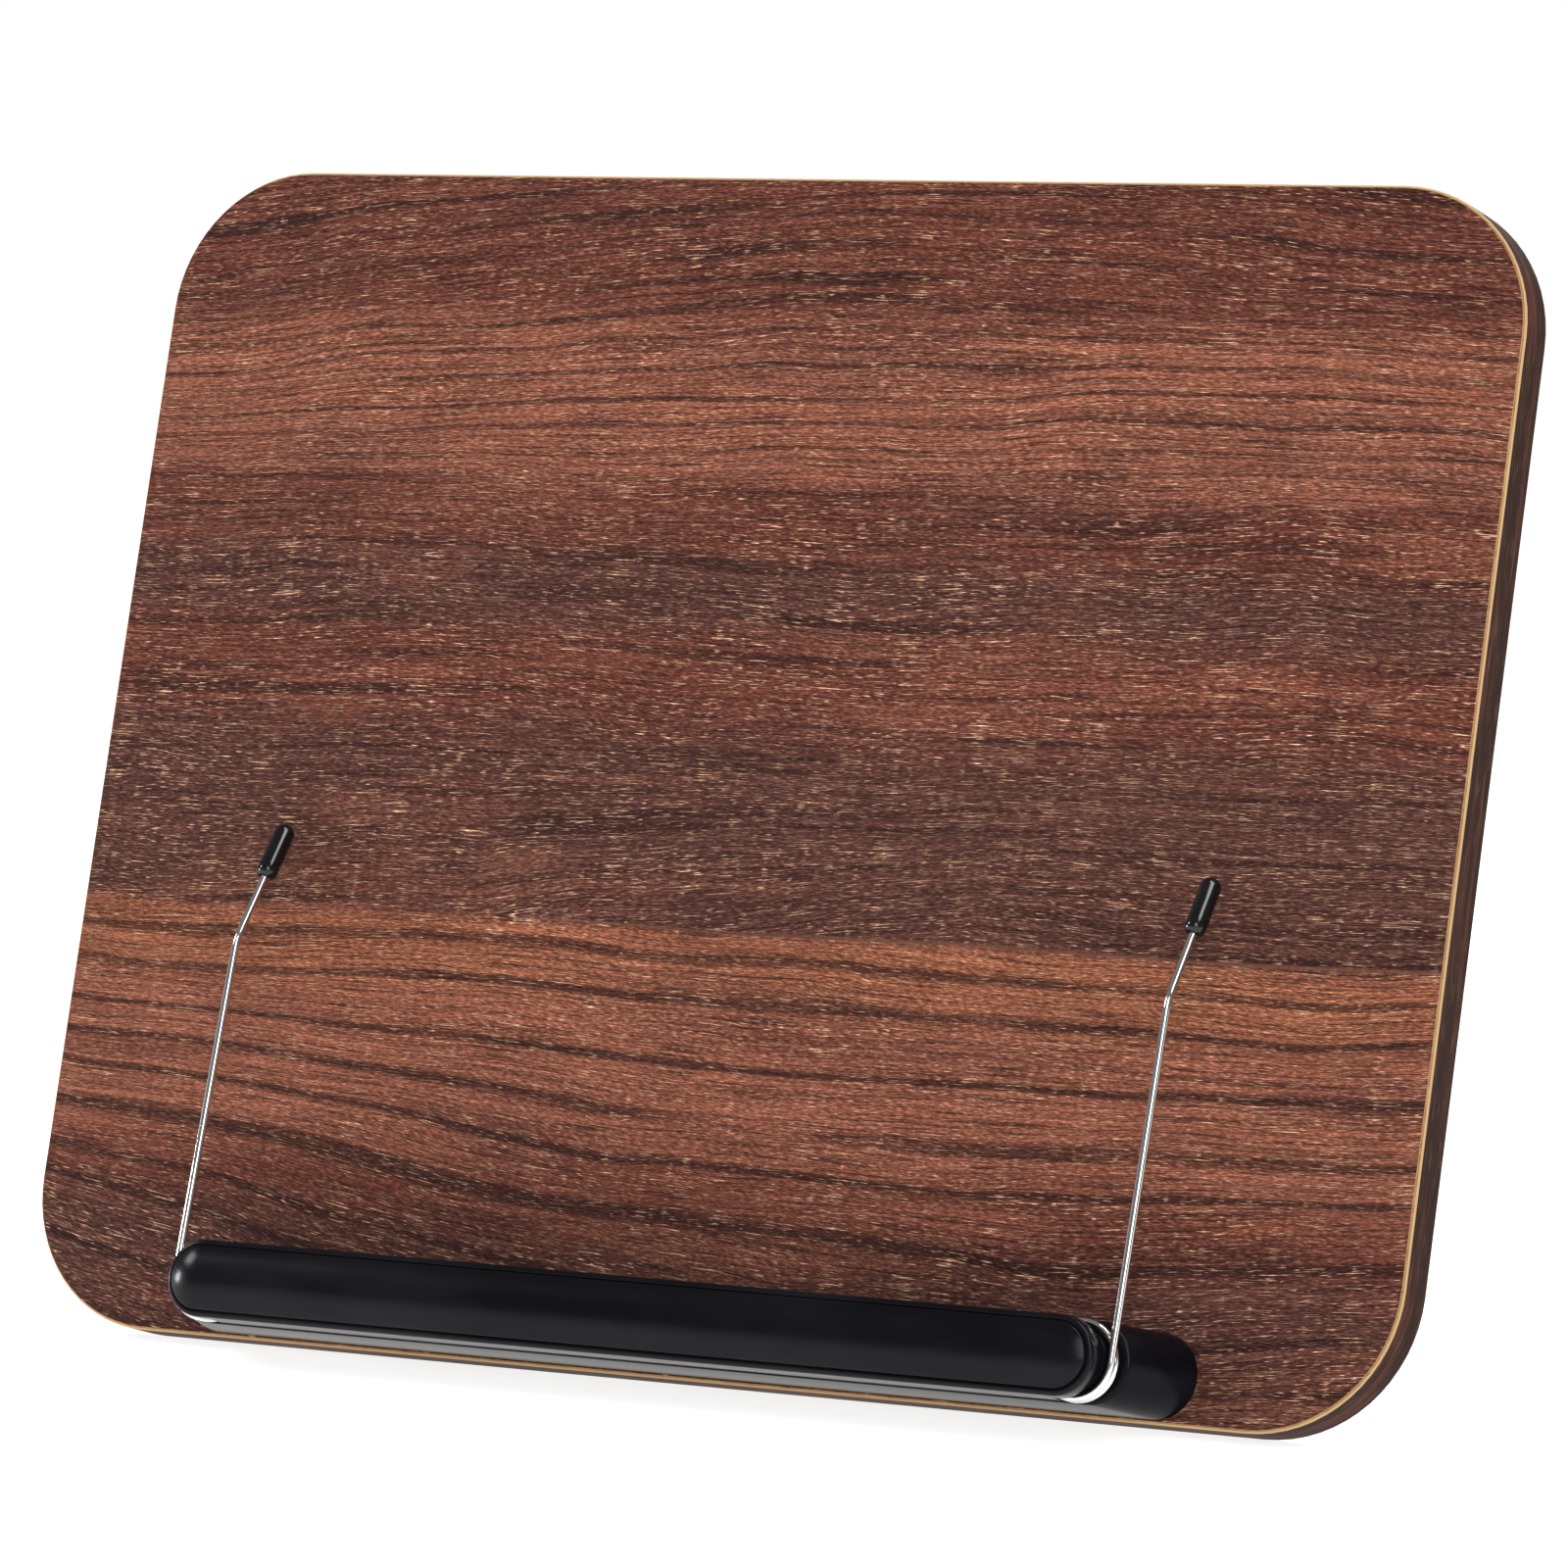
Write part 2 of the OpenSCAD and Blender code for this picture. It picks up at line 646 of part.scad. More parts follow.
// Rubber sleeve on the cross bar
module leg_foot() {
    soft = (foot_r_out - leg_r) / 2;
    color("#101012") translate([knee[0] - foot_inset - foot_l, -leg_l, 0]) rotate([0, 90, 0]) difference() {
        union() {
            cylinder(r1 = foot_r_out - soft, r2 = foot_r_out, h = soft);
            translate([0, 0, soft]) cylinder(r = foot_r_out, h = foot_l - 2 * soft);
            translate([0, 0, foot_l - soft]) cylinder(r1 = foot_r_out, r2 = foot_r_out - soft, h = soft);
        }
        translate([0, 0, -over]) cylinder(r = leg_r + push_gap, h = foot_l + 2 * over);
    }
}

module right_leg_foot() on_leg() leg_foot();
module left_leg_foot() on_leg() mirror([1, 0, 0]) leg_foot();

board_core();
front_laminate();
rear_laminate();
edge_band();
ledge_base();
ledge_cap();
ledge_screws();
cap_screws();
left_clip_wire();
right_clip_wire();
left_clip_tip();
right_clip_tip();
hinge_base();
hinge_cover();
hinge_screws();
cover_screws();
left_detent_spring();
right_detent_spring();
left_ratchet_drum();
right_ratchet_drum();
leg_wire();
left_leg_foot();
right_leg_foot();
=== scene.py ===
"""Looks of the tilting book stand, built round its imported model.

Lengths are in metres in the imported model's own frame. Wood patterns are laid out in millimetres
on the board: across it, up its slope, and out of its front face.
"""

import json
import math

import bmesh
import bpy
from mathutils import Matrix, Vector

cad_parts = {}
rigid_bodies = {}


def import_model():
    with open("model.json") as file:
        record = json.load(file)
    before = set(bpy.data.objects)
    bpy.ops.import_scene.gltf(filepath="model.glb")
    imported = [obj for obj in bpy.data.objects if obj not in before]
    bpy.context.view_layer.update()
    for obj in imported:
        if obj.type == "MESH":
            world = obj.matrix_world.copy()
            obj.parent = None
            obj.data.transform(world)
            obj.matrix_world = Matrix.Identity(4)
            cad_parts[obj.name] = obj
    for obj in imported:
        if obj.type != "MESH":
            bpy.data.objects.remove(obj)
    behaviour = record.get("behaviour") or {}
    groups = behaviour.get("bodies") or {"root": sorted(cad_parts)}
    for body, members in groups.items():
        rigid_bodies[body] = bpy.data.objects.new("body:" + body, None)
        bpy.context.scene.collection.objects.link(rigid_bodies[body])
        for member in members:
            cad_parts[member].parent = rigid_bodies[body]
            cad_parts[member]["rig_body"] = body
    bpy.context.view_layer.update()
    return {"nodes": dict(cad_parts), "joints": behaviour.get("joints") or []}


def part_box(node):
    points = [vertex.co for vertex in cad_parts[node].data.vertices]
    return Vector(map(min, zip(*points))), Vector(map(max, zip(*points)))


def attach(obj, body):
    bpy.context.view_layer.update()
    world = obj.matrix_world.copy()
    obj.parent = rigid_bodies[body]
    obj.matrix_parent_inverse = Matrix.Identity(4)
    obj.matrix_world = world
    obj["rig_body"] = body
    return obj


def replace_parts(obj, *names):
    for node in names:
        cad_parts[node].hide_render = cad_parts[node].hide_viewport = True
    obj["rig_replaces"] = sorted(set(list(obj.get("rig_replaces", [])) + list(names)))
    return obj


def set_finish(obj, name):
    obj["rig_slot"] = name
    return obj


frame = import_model()

bl_info = {
    "name": "Tilting Book Stand",
    "version": (1, 0, 0),
    "blender": (4, 5, 0),
    "location": "View3D > Sidebar > Book Stand",
    "description": "Builds the finished pieces of a tilting book stand round its packed model",
    "category": "Object",
}

JOINTS = {joint["name"]: joint for joint in frame["joints"]}
MM = 0.001
TINY = 1e-5
SIDES = {"left": -1, "right": 1}
BASE_DEPTH = 18.3 * MM  # of the ledge, up to its clip groove


def turn_x(angle):
    """A turn about the line across the stand."""
    return Matrix.Rotation(angle, 4, "X")


def places(node, axes):
    """A node's points in other axes."""
    back = axes.inverted()
    return [back @ vertex.co for vertex in frame["nodes"][node].data.vertices]


# The board's axes: x across, y up the slope from its bottom edge, z out of its front face
LEAN = math.asin(JOINTS["right_clip_swing"]["axis"][2])
TO_BOARD = (LEAN - math.pi / 2, 0, 0)
UPRIGHT = turn_x(math.pi / 2 - LEAN)
BOTTOM = min(point.y for point in places("edge_band", UPRIGHT))
FACE = max(point.z for point in places("front_laminate", UPRIGHT))
BOARD = UPRIGHT @ Matrix.Translation((0, BOTTOM, FACE))
BOARD_T = -min(point.z for point in places("rear_laminate", BOARD))
BOARD_H = max(point.y for point in places("edge_band", BOARD))

# The ledge's axes: the board's, at the height of the clip posts
POST = BOARD.inverted() @ Vector(JOINTS["right_clip_swing"]["pos_m"])
LEDGE = BOARD @ Matrix.Translation((0, POST.y, 0))
LEDGE_FOOT = places("ledge_base", LEDGE)
LEDGE_CAP = places("ledge_cap", LEDGE)

# The leg's axes: x along its hinge, -y down the leg
AXLE = Vector(JOINTS["leg_hinge"]["pos_m"])
FOOT = sum(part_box("right_leg_foot"), Vector()) / 2 - AXLE
LEG = Matrix.Translation(AXLE) @ turn_x(math.pi / 2 + math.atan2(FOOT.y, -FOOT.z))
HINGE_UP = (BOARD.inverted() @ AXLE).y

# Small eased edges
LEDGE_EASE = 0.3 * MM  # at the board; the posts and the web start as deep inside the base
RIM_ROUND = 0.7 * MM
CAP_BACK_ROUND = 0.25 * MM
CREASE_ROUND = 0.12 * MM
STEP_ROUND = 0.16 * MM
HINGE_ROUND = 0.7 * MM

# Screws: radius and length of the shank, and how far each stands from the middle
HINGE_SCREW = (1.75 * MM, 10 * MM)
HINGE_SCREW_ASIDE = 40 * MM
HINGE_SCREW_UP = 18 * MM
COVER_SCREW = (1.5 * MM, 9 * MM)
COVER_SCREW_ASIDE = 13 * MM
LEDGE_SCREW = (2 * MM, 24 * MM)
LEDGE_SCREW_ASIDE = 81 * MM
CROSS_TURN = 9  # radians per millimetre of a screw's place, so that the crosses differ

# Stage: each light's place, width, height and power, and the camera
FLOOR_RADIUS = 30
LIT_POINT = Vector((0, 0, 0.13))
LIGHTS = {
    "front_light": ((1.45, -2.0, 1.6), 1.2, 1.8, 30),
    "key_light": ((-3.0, -1.4, 2.2), 0.9, 0.9, 38),
    "top_light": ((0.9, -0.15, 2.1), 0.7, 1.5, 24),
    "left_light": ((-2.8, -0.9, 0.4), 0.4, 0.4, 26),
    "rear_light": ((0.9, 1.9, 1.9), 1.4, 1.4, 24),
}
CAMERA_PLACE = BOARD.translation + Vector((0.9325, -1.5963, 0.3086))
CAMERA_VIEW = Vector((-0.4903, 0.8666, -0.0935))
CAMERA_LENS = 190.04


def srgb(red, green, blue):
    """A colour as picked on screen, in the linear values that shaders use."""
    def linear(part):
        part /= 255
        return part / 12.92 if part <= 0.04045 else ((part + 0.055) / 1.055) ** 2.4
    return linear(red), linear(green), linear(blue)


def length(name, default, description):
    """A size that a user may change."""
    return bpy.props.FloatProperty(name=name, description=description, default=default,
                                   min=0, unit="LENGTH", precision=5)


def colour(name, default, description):
    """A colour that a user may change."""
    return bpy.props.FloatVectorProperty(name=name, description=description, default=default,
                                         size=3, min=0, max=1, subtype="COLOR")


class BookStandSizes(bpy.types.PropertyGroup):
    """Sizes of the finished pieces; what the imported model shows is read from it."""

    base_reach: length("Ledge reach", max(p.x for p in LEDGE_FOOT),
                       "Half length of the ledge at the board")
    base_half: length("Ledge half height", max(p.y for p in LEDGE_FOOT),
                      "Half height of the ledge at the board")
    base_depth: length("Ledge depth", BASE_DEPTH, "Depth of the ledge up to its clip groove")
    rim_draw: length("Ledge draw", 7.8 * MM, "How far each end draws in up to the groove")
    rim_half: length("Rim half height", 9.3 * MM, "Half height of the ledge at the groove")
    groove: length("Groove", min(p.z for p in LEDGE_CAP) - BASE_DEPTH,
                   "Width of the groove of the clip wires")
    pocket: length("Pocket", 9.725 * MM, "Radius of the pocket round each clip post")
    post: length("Post", 7.4 * MM, "Radius of each clip post")
    cap_reach: length("Cap reach", max(p.x for p in LEDGE_CAP), "Half length of the front cap")
    cap_half: length("Cap half height", max(p.y for p in LEDGE_CAP), "Half height of the front cap")
    cap_thick: length("Cap rim", 4.8 * MM, "Thickness of the front cap at its rim")
    cap_round: length("Cap round", 0.9 * MM, "Radius of the cap's rounded rim")
    pillow_half: length("Pillow", 7.4 * MM, "Half height of the raised pillow on the cap")
    pillow_step: length("Pillow step", 0.5 * MM, "Height of the step round the pillow")
    crease: length("Crease", 0.36 * MM, "Width and depth of the crease round the pillow")
    crown: length("Crown", 1.9 * MM, "Rise of the pillow's crown above its step")
    clip_wire: length("Clip wire", 1.8 * MM, "Diameter of the clip wire")
    coil_gap: length("Coil gap", 0.15 * MM, "Clearance of the coil round its post")
    coil_pitch: length("Coil pitch", 2.05 * MM, "Distance between the turns of the coil")
    coil_turns: bpy.props.FloatProperty(name="Coil turns", default=1.65,
                                        description="Turns of wire round each post")
    arm_gap: length("Arm gap", 0.4 * MM, "Clearance of the clip's arm behind the cap")
    bend_rise: length("Bend rise", 80.5 * MM, "Height of the arm's bend above its post")
    bend_drop: length("Bend drop", 4.6 * MM, "Approach of the arm to the board up to its bend")
    tip_rise: length("Tip rise", 29.6 * MM, "Height of the tip above the bend")
    tip_drop: length("Tip drop", 14.4 * MM, "Approach of the arm to the board past its bend")
    tip_wide: length("Tip diameter", 5 * MM, "Diameter of the clip's tip")
    tip_long: length("Tip length", 14.9 * MM, "Length of the clip's tip")
    leg_wire: length("Leg wire", 5 * MM, "Diameter of the leg's wire")
    journal: length("Journal", 4.88 * MM, "Diameter of the leg's ends in the hinge")
    hip: length("Hip bend", 9 * MM, "Bend radius at the hinge end of the leg")
    knee: length("Knee bend", 12 * MM, "Bend radius at the cross bar of the leg")
    flare: bpy.props.FloatProperty(name="Flare", description="Flare of each side of the leg",
                                   default=math.radians(12), subtype="ANGLE")
    hinge_plate: length("Hinge plate", 3 * MM, "Thickness of the hinge's base plate")
    foot_wide: length("Foot diameter", 8 * MM, "Outer diameter of each rubber foot")
    ring_space: length("Ring spacing", 13 * MM, "Distance between the dark lines of the walnut")
    pore_long: length("Pore length", 3.4 * MM, "Length of the light pores of the walnut")


class BookStandColours(bpy.types.PropertyGroup):
    """Colours of the finishes."""

    golden: colour("Golden walnut", srgb(133, 81, 59), "Lightest bands of the walnut")
    brown: colour("Brown walnut", srgb(127, 77, 60), "Lined bands of the walnut")
    red: colour("Red walnut", srgb(93, 52, 42), "Middle bands of the walnut")
    purple: colour("Dark walnut", srgb(80, 50, 44), "Darkest bands of the walnut")
    ring: colour("Walnut lines", srgb(46, 27, 25), "Dark lines and streaks of the walnut")
    # Painted glints: the pores are painted this light to stand in for glints of light off them
    pore_glint: colour("Walnut pores", srgb(232, 184, 148), "Light pores of the walnut")
    band: colour("Edge band", srgb(46, 28, 21), "Printed band round the board's edge")
    # Partly painted highlight: cut edges are painted this pale for their own colour and to stand in
    # for the bright line along the arris
    cut: colour("Band edge", srgb(194, 160, 116), "Cut edge of the band and laminates")
    fibre: colour("Fibreboard", srgb(158, 119, 78), "Bare fibreboard along the bevels")
    moulding: colour("Black moulding", srgb(9, 9, 14), "Moulded ledge and hinge housing")
    wire: colour("Clip wire", srgb(228, 228, 226), "Polished wire of the clips")
    leg: colour("Leg wire", srgb(178, 180, 184), "Bright-drawn wire of the leg")
    zinc: colour("Screws", srgb(186, 188, 190), "Zinc-plated screws")
    vinyl: colour("Clip tips", srgb(9, 9, 11), "Glossy sleeves on the clips")
    strip: colour("Spring strip", srgb(146, 150, 158), "Spring strip of the ratchet")
    drum: colour("Ratchet drums", srgb(58, 58, 62), "Moulded ratchet drums")
    rubber: colour("Feet", srgb(24, 24, 26), "Rubber sleeves of the leg")
    floor: colour("Floor", srgb(200, 200, 199), "Floor under the stand")


def sizes():
    """The sizes as they are set in the scene."""
    return bpy.context.scene.book_stand_sizes


def colours():
    """The colours as they are set in the scene."""
    return bpy.context.scene.book_stand_colours


# Finishes


class Field:
    """A socket of a finish, with arithmetic that adds Math nodes."""

    def __init__(self, finish, socket):
        self.finish = finish
        self.socket = socket

    def math(self, operation, *values):
        inputs = dict(enumerate([self, *values]))
        return self.finish.node("ShaderNodeMath", {"operation": operation}, inputs)

    def __add__(self, other):
        return self.math("ADD", other)

    __radd__ = __add__

    def __mul__(self, other):
        return self.math("MULTIPLY", other)

    __rmul__ = __mul__

    def __sub__(self, other):
        return self.math("SUBTRACT", other)

    def __rsub__(self, other):
        return self.math("MULTIPLY", -1).math("ADD", other)

    def __truediv__(self, other):
        return self.math("DIVIDE", other)

    def __abs__(self):
        return self.math("ABSOLUTE")


class Nodes:
    """A node tree whose nodes are added one by one."""

    def __init__(self, tree):
        self.tree = tree

    def feed(self, node, inputs):
        for key, value in inputs.items():
            socket = node.inputs[key]
            if isinstance(value, Field):
                self.tree.links.new(value.socket, socket)
            elif socket.type == "RGBA":
                socket.default_value = (*value, 1)
            else:
                socket.default_value = value

    def node(self, kind, settings=None, inputs=None, output=0):
        made = self.tree.nodes.new(kind)
        for key, value in (settings or {}).items():
            if key == "stops":
                stops = made.color_ramp.elements
                while len(stops) < len(value):
                    stops.new(1)
                for stop, (place, shade) in zip(stops, value):
                    stop.position = place
                    stop.color = (*shade, 1)
            else:
                setattr(made, key, value)
        self.feed(made, inputs or {})
        return Field(self, made.outputs[output])

    def split(self, vector):
        parts = self.node("ShaderNodeSeparateXYZ", None, {"Vector": vector}).socket.node
        return [Field(self, socket) for socket in parts.outputs]

    def join(self, x, y, z):
        return self.node("ShaderNodeCombineXYZ", None, {"X": x, "Y": y, "Z": z})

    def mix(self, share, first, second, blend="MIX"):
        settings = {"data_type": "RGBA", "blend_type": blend}
        return self.node("ShaderNodeMix", settings, {0: share, 6: first, 7: second}, 2)

    def ramp(self, value, stops):
        return self.node("ShaderNodeValToRGB", {"stops": stops}, {"Fac": value})

    def fade(self, value, low, high):
        """0 below low and 1 above high, the other way round where high is the lower."""
        inputs = {"Value": value, "From Min": low, "From Max": high}
        return self.node("ShaderNodeMapRange", {"interpolation_type": "SMOOTHSTEP"}, inputs)

    def grain(self, x, y, z, long, high, deep, seed, detail=2.0):
        """Noise whose features are so many units long, high and deep."""
        vector = self.join(x * (1 / long) + seed, y * (1 / high) + 3 * seed, z * (1 / deep))
        inputs = {"Vector": vector, "Scale": 1.0, "Detail": detail, "Roughness": 0.55}
        return self.node("ShaderNodeTexNoise", None, inputs)


class Finish(Nodes):
    """A material; what is the same all over goes straight on its shader."""

    def __init__(self, name, **constants):
        self.material = bpy.data.materials.new(name)
        self.material.use_nodes = True
        super().__init__(self.material.node_tree)
        self.shader = self.tree.nodes["Principled BSDF"]
        self.feed(self.shader, constants)

    def shade(self, **varying):
        self.feed(self.shader, {key.replace("_", " "): value for key, value in varying.items()})

    def bump(self, height, strength, distance):
        inputs = {"Strength": strength, "Distance": distance, "Height": height}
        self.shade(Normal=self.node("ShaderNodeBump", None, inputs))

    def place(self):
        """Where a point is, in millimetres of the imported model's frame."""
        spot = self.node("ShaderNodeTexCoord", output="Object")
        inputs = {"Vector": spot, "Scale": (1 / MM,) * 3}
        return self.split(self.node("ShaderNodeMapping", None, inputs))

    def on_board(self):
        """Where a point is on the board, in millimetres."""
        spot = self.node("ShaderNodeTexCoord", output="Object")
        inputs = {"Vector": spot, "Rotation": TO_BOARD, "Scale": (1 / MM,) * 3,
                  "Location": BOARD.inverted().translation / MM}
        return self.split(self.node("ShaderNodeMapping", None, inputs))

    def facing(self):
        """1 where a surface faces along the board's thickness, 0 where it faces across."""
        normal = self.node("ShaderNodeTexCoord", output="Normal")
        inputs = {"Vector": normal, "Rotation": TO_BOARD}
        turned = self.node("ShaderNodeMapping", {"vector_type": "VECTOR"}, inputs)
        return abs(self.split(turned)[2])


def walnut(name, seed):
    """Walnut laminate: broad bands up the board, bowed dark lines, streaks, and light pores painted
    bright as glints.
    """
    paint = Finish(name, **{"Specular IOR Level": 0.05})
    shades = colours()
    golden, brown, red = tuple(shades.golden), tuple(shades.brown), tuple(shades.red)
    purple, dark = tuple(shades.purple), tuple(shades.ring)
    across, up, out = paint.on_board()
    deep = 40

    def grain(y, long, high, offset, detail=2.0):
        """Noise about zero, so many millimetres long and high, from its own part of the pattern."""
        return paint.grain(across, y, out, long, high, deep, seed + offset, detail) - 0.5

    # Bands, by their share of the board's height
    zone = (up + grain(up, 150, 50, 3.2) * 6) * (MM / BOARD_H)
    bands = paint.ramp(zone, [
        (0.00, purple), (0.09, purple), (0.14, red), (0.2, brown), (0.28, brown), (0.32, golden),
        (0.362, golden), (0.37, purple), (0.50, purple), (0.56, red), (0.60, red), (0.63, purple),
        (0.665, purple), (0.69, red), (0.735, red), (0.745, brown), (0.86, brown), (0.89, red),
        (1.0, red),
    ])
    # Share of the dark lines, of the light pores with their painted glints and of the streaks in
    # each band
    lined, pore_glint_share, streaky = paint.split(paint.ramp(zone, [
        (0.00, (0.7, 0.9, 0.5)), (0.08, (0.9, 0.8, 0.35)), (0.30, (0.9, 0.75, 0.3)),
        (0.362, (0.7, 0.7, 0.3)), (0.37, (0.0, 0.9, 1.0)), (0.55, (0.0, 1.0, 0.9)),
        (0.735, (0.0, 0.9, 0.8)), (0.745, (0.4, 0.7, 0.3)), (0.80, (0.8, 0.75, 0.3)),
        (0.87, (0.6, 0.7, 0.6)), (0.91, (0.0, 0.7, 1.0)), (1.0, (0.0, 0.7, 1.0)),
    ]))

    # The grain bows low and high on the board, and slants in the lower part of the dark band
    bow = paint.fade(up, 105, 30) * 25 - paint.fade(up, 185, 235) * 14
    aside = (across - 65) / 240
    low_dark = paint.fade(up, 155, 108) * paint.fade(zone, 0.366, 0.37)
    slant = low_dark * (across + 70).math("MAXIMUM", 0).math("MINIMUM", 130) * 0.16
    flow = (up - aside * aside * bow - slant
            + grain(up, 190, 80, 0.3) * 16 + grain(up, 64, 26, 1.1) * 4)
    strand_up = flow + grain(up, 30, 12, 2.7) * 0.5

    # Clouds, strands, streaks, vessels and dark lines
    cloud = grain(flow, 140, 26, 4.4, 3.0)
    wood = paint.mix(paint.fade(cloud, 0.0, 0.2) * 0.5, bands, purple)
    wood = paint.mix(paint.fade(cloud, -0.02, -0.2) * 0.4, wood, brown)
    strand = grain(strand_up, 60, 1.0, 12.6)
    wood = paint.mix(1.0, wood, strand * 2.0 + 1.0, "MULTIPLY")
    streak = paint.fade(grain(strand_up, 130, 3.6, 5.9), 0.03, 0.17) * streaky
    wood = paint.mix(streak * 0.8, wood, dark)
    vessel = paint.fade(grain(strand_up, 22, 0.5, 10.3, 1.0), 0.02, 0.17)
    wood = paint.mix(vessel * 0.75, wood, dark)
    closer = 1 + paint.fade(zone, 0.73, 0.745)
    turn = strand_up * (MM / sizes().ring_space) * closer + grain(flow, 900, 30, 6.3) * 1.6
    beside = abs(turn.math("FRACT") - 0.5) * 2
    faded = paint.fade(grain(flow, 90, 9, 7.7), -0.3, -0.02)
    ring = paint.fade(beside, 0.28, 0.08) * faded * lined
    wood = paint.mix(ring * 0.9, wood, dark)

    # Light pores, painted lighter than pores are to stand in for glints of light off them, and
    # specks that are skewed so that they don't line up in columns
    patch = paint.fade(grain(flow, 40, 9, 8.8), -0.18, 0.18)
    dash = paint.fade(grain(strand_up, sizes().pore_long / MM, 0.2, 9.1, 0.0), 0.2, 0.28)
    long_dash = paint.fade(grain(strand_up, 10, 0.22, 14.2, 0.0), 0.21, 0.28)
    pore_glint = (dash + long_dash).math("MINIMUM", 1) * (patch * 0.6 + 0.4) * pore_glint_share
    wood = paint.mix(pore_glint, wood, tuple(shades.pore_glint))
    skewed = across + strand_up * 1.7
    noise = paint.grain(skewed, strand_up, out, 1.7, 0.32, deep, seed + 11.9) - 0.5
    speck = noise.math("MAXIMUM", -0.05)
    wood = paint.mix(1.0, wood, speck * 6.5 + 0.95, "MULTIPLY")

    # Faces along the board's thickness get the pale cut-edge colour, which is partly a painted
    # highlight along the arris
    cut = paint.fade(paint.facing(), 0.7, 0.5)
    paint.shade(Base_Color=paint.mix(cut, wood, tuple(shades.cut)),
                Roughness=0.42 + vessel * 0.14 - pore_glint * 0.06)
    paint.bump(pore_glint * 0.6 - vessel - ring * 0.4 + speck * 0.6, 0.3, 0.08 * MM)
    return paint.material


def edge_band(name):
    """Printed edge band: dark walnut whose grain runs round the board, with a pale cut edge that is
    partly a painted highlight.
    """
    paint = Finish(name, **{"Specular IOR Level": 0.02})
    shades = colours()
    across, up, out = paint.on_board()
    broad = paint.grain(across, up, out, 46, 46, 2.6, 0.7, 3.0)
    fine = paint.grain(across, up, out, 9, 9, 0.35, 5.1, 2.0)
    wood = paint.mix(paint.fade(broad, 0.45, 0.7) * 0.6, tuple(shades.band), tuple(shades.red))
    wood = paint.mix(paint.fade(fine, 0.5, 0.72) * 0.7, wood, tuple(shades.ring))
    wood = paint.mix(paint.fade(fine, 0.42, 0.3) * 0.1, wood, tuple(shades.pore_glint))
    # The cut edge's pale colour is partly a painted highlight along the arris
    cut = paint.fade(paint.facing(), 0.3, 0.5)
    paint.shade(Base_Color=paint.mix(cut, wood, tuple(shades.cut)), Roughness=0.4 + fine * 0.12)
    paint.bump(fine, 0.25, 0.06 * MM)
    return paint.material


def fibreboard(name):
    """Bare pressed fibre along the bevels, with darker bundles."""
    paint = Finish(name, **{"Specular IOR Level": 0.25})
    across, up, out = paint.on_board()
    fibre = paint.grain(across, up, out, 1.6, 1.6, 0.5, 0.4, 3.0)
    bundle = paint.grain(across, up, out, 7, 7, 1.2, 6.2, 2.0)
    base = tuple(colours().fibre)
    wood = paint.mix(paint.fade(fibre, 0.45, 0.7) * 0.5, base, tuple(colours().red))
    wood = paint.mix(paint.fade(bundle, 0.5, 0.3) * 0.35, wood, tuple(colours().cut))
    paint.shade(Base_Color=wood, Roughness=0.72 + fibre * 0.2)
    paint.bump(fibre, 0.4, 0.1 * MM)
    return paint.material


def moulding(name, rough, gloss, spark=0.0):
    """Black moulded plastic with a fine texture, pitted at the depth that spark gives, if any."""
    paint = Finish(name, **{"Specular IOR Level": gloss})
    x, y, z = paint.place()
    fine = paint.grain(x, y, z, 0.34, 0.34, 0.34, 0.9, 1.0)
    flow = paint.grain(x, y, z, 38, 14, 14, 2.2, 2.0)
    base = tuple(colours().moulding)
    lighter = tuple(part * 1.7 + 0.002 for part in base)
    tone = paint.mix(paint.fade(flow, 0.3, 0.75), base, lighter)
    paint.shade(Base_Color=tone, Roughness=rough + (fine - 0.5) * 0.16 + (flow - 0.5) * 0.08)
    if spark:
        pits = paint.grain(x, y, z, 0.6, 0.6, 0.6, 4.4, 1.0)
        depth = paint.on_board()[2]
        pitted = (paint.fade(depth, spark - 0.12, spark - 0.04)
                  * paint.fade(depth, spark + 0.12, spark + 0.04))
        paint.bump(fine * (1 - pitted) * 0.5 + pits * pitted * 4, 0.3, 0.05 * MM)
    else:
        paint.bump(fine, 0.22, 0.05 * MM)
    return paint.material


def metal(name, shade, rough, brushed, run):
    """Bare or plated metal with faint drawing marks along a direction of its own."""
    paint = Finish(name, Metallic=1.0)
    x, y, z = paint.place()
    marks = paint.grain(x, y, z, *run, 1.3, 2.0)
    stain = paint.grain(x, y, z, 6, 6, 6, 3.8, 2.0)
    duller = tuple(part * 0.72 for part in shade)
    tone = paint.mix(paint.fade(stain, 0.35, 0.75) * 0.35, shade, duller)
    paint.shade(Base_Color=tone, Roughness=rough + (marks - 0.5) * brushed + (stain - 0.5) * 0.04)
    paint.bump(marks, 0.06, 0.006 * MM)
    return paint.material


def soft_black(name, shade, rough, gloss):
    """Vinyl or rubber: a dark sleeve with faint bloom and fine scuffs."""
    paint = Finish(name, **{"Specular IOR Level": gloss})
    x, y, z = paint.place()
    bloom = paint.grain(x, y, z, 5, 5, 5, 0.6, 3.0)
    scuff = paint.grain(x, y, z, 0.5, 0.5, 0.5, 7.3, 1.0)
    lighter = tuple(part * 2 + 0.003 for part in shade)
    tone = paint.mix(paint.fade(bloom, 0.4, 0.8) * 0.5, shade, lighter)
    paint.shade(Base_Color=tone, Roughness=rough + (bloom - 0.5) * 0.12 + (scuff - 0.5) * 0.06)
    paint.bump(scuff, 0.1, 0.03 * MM)
    return paint.material


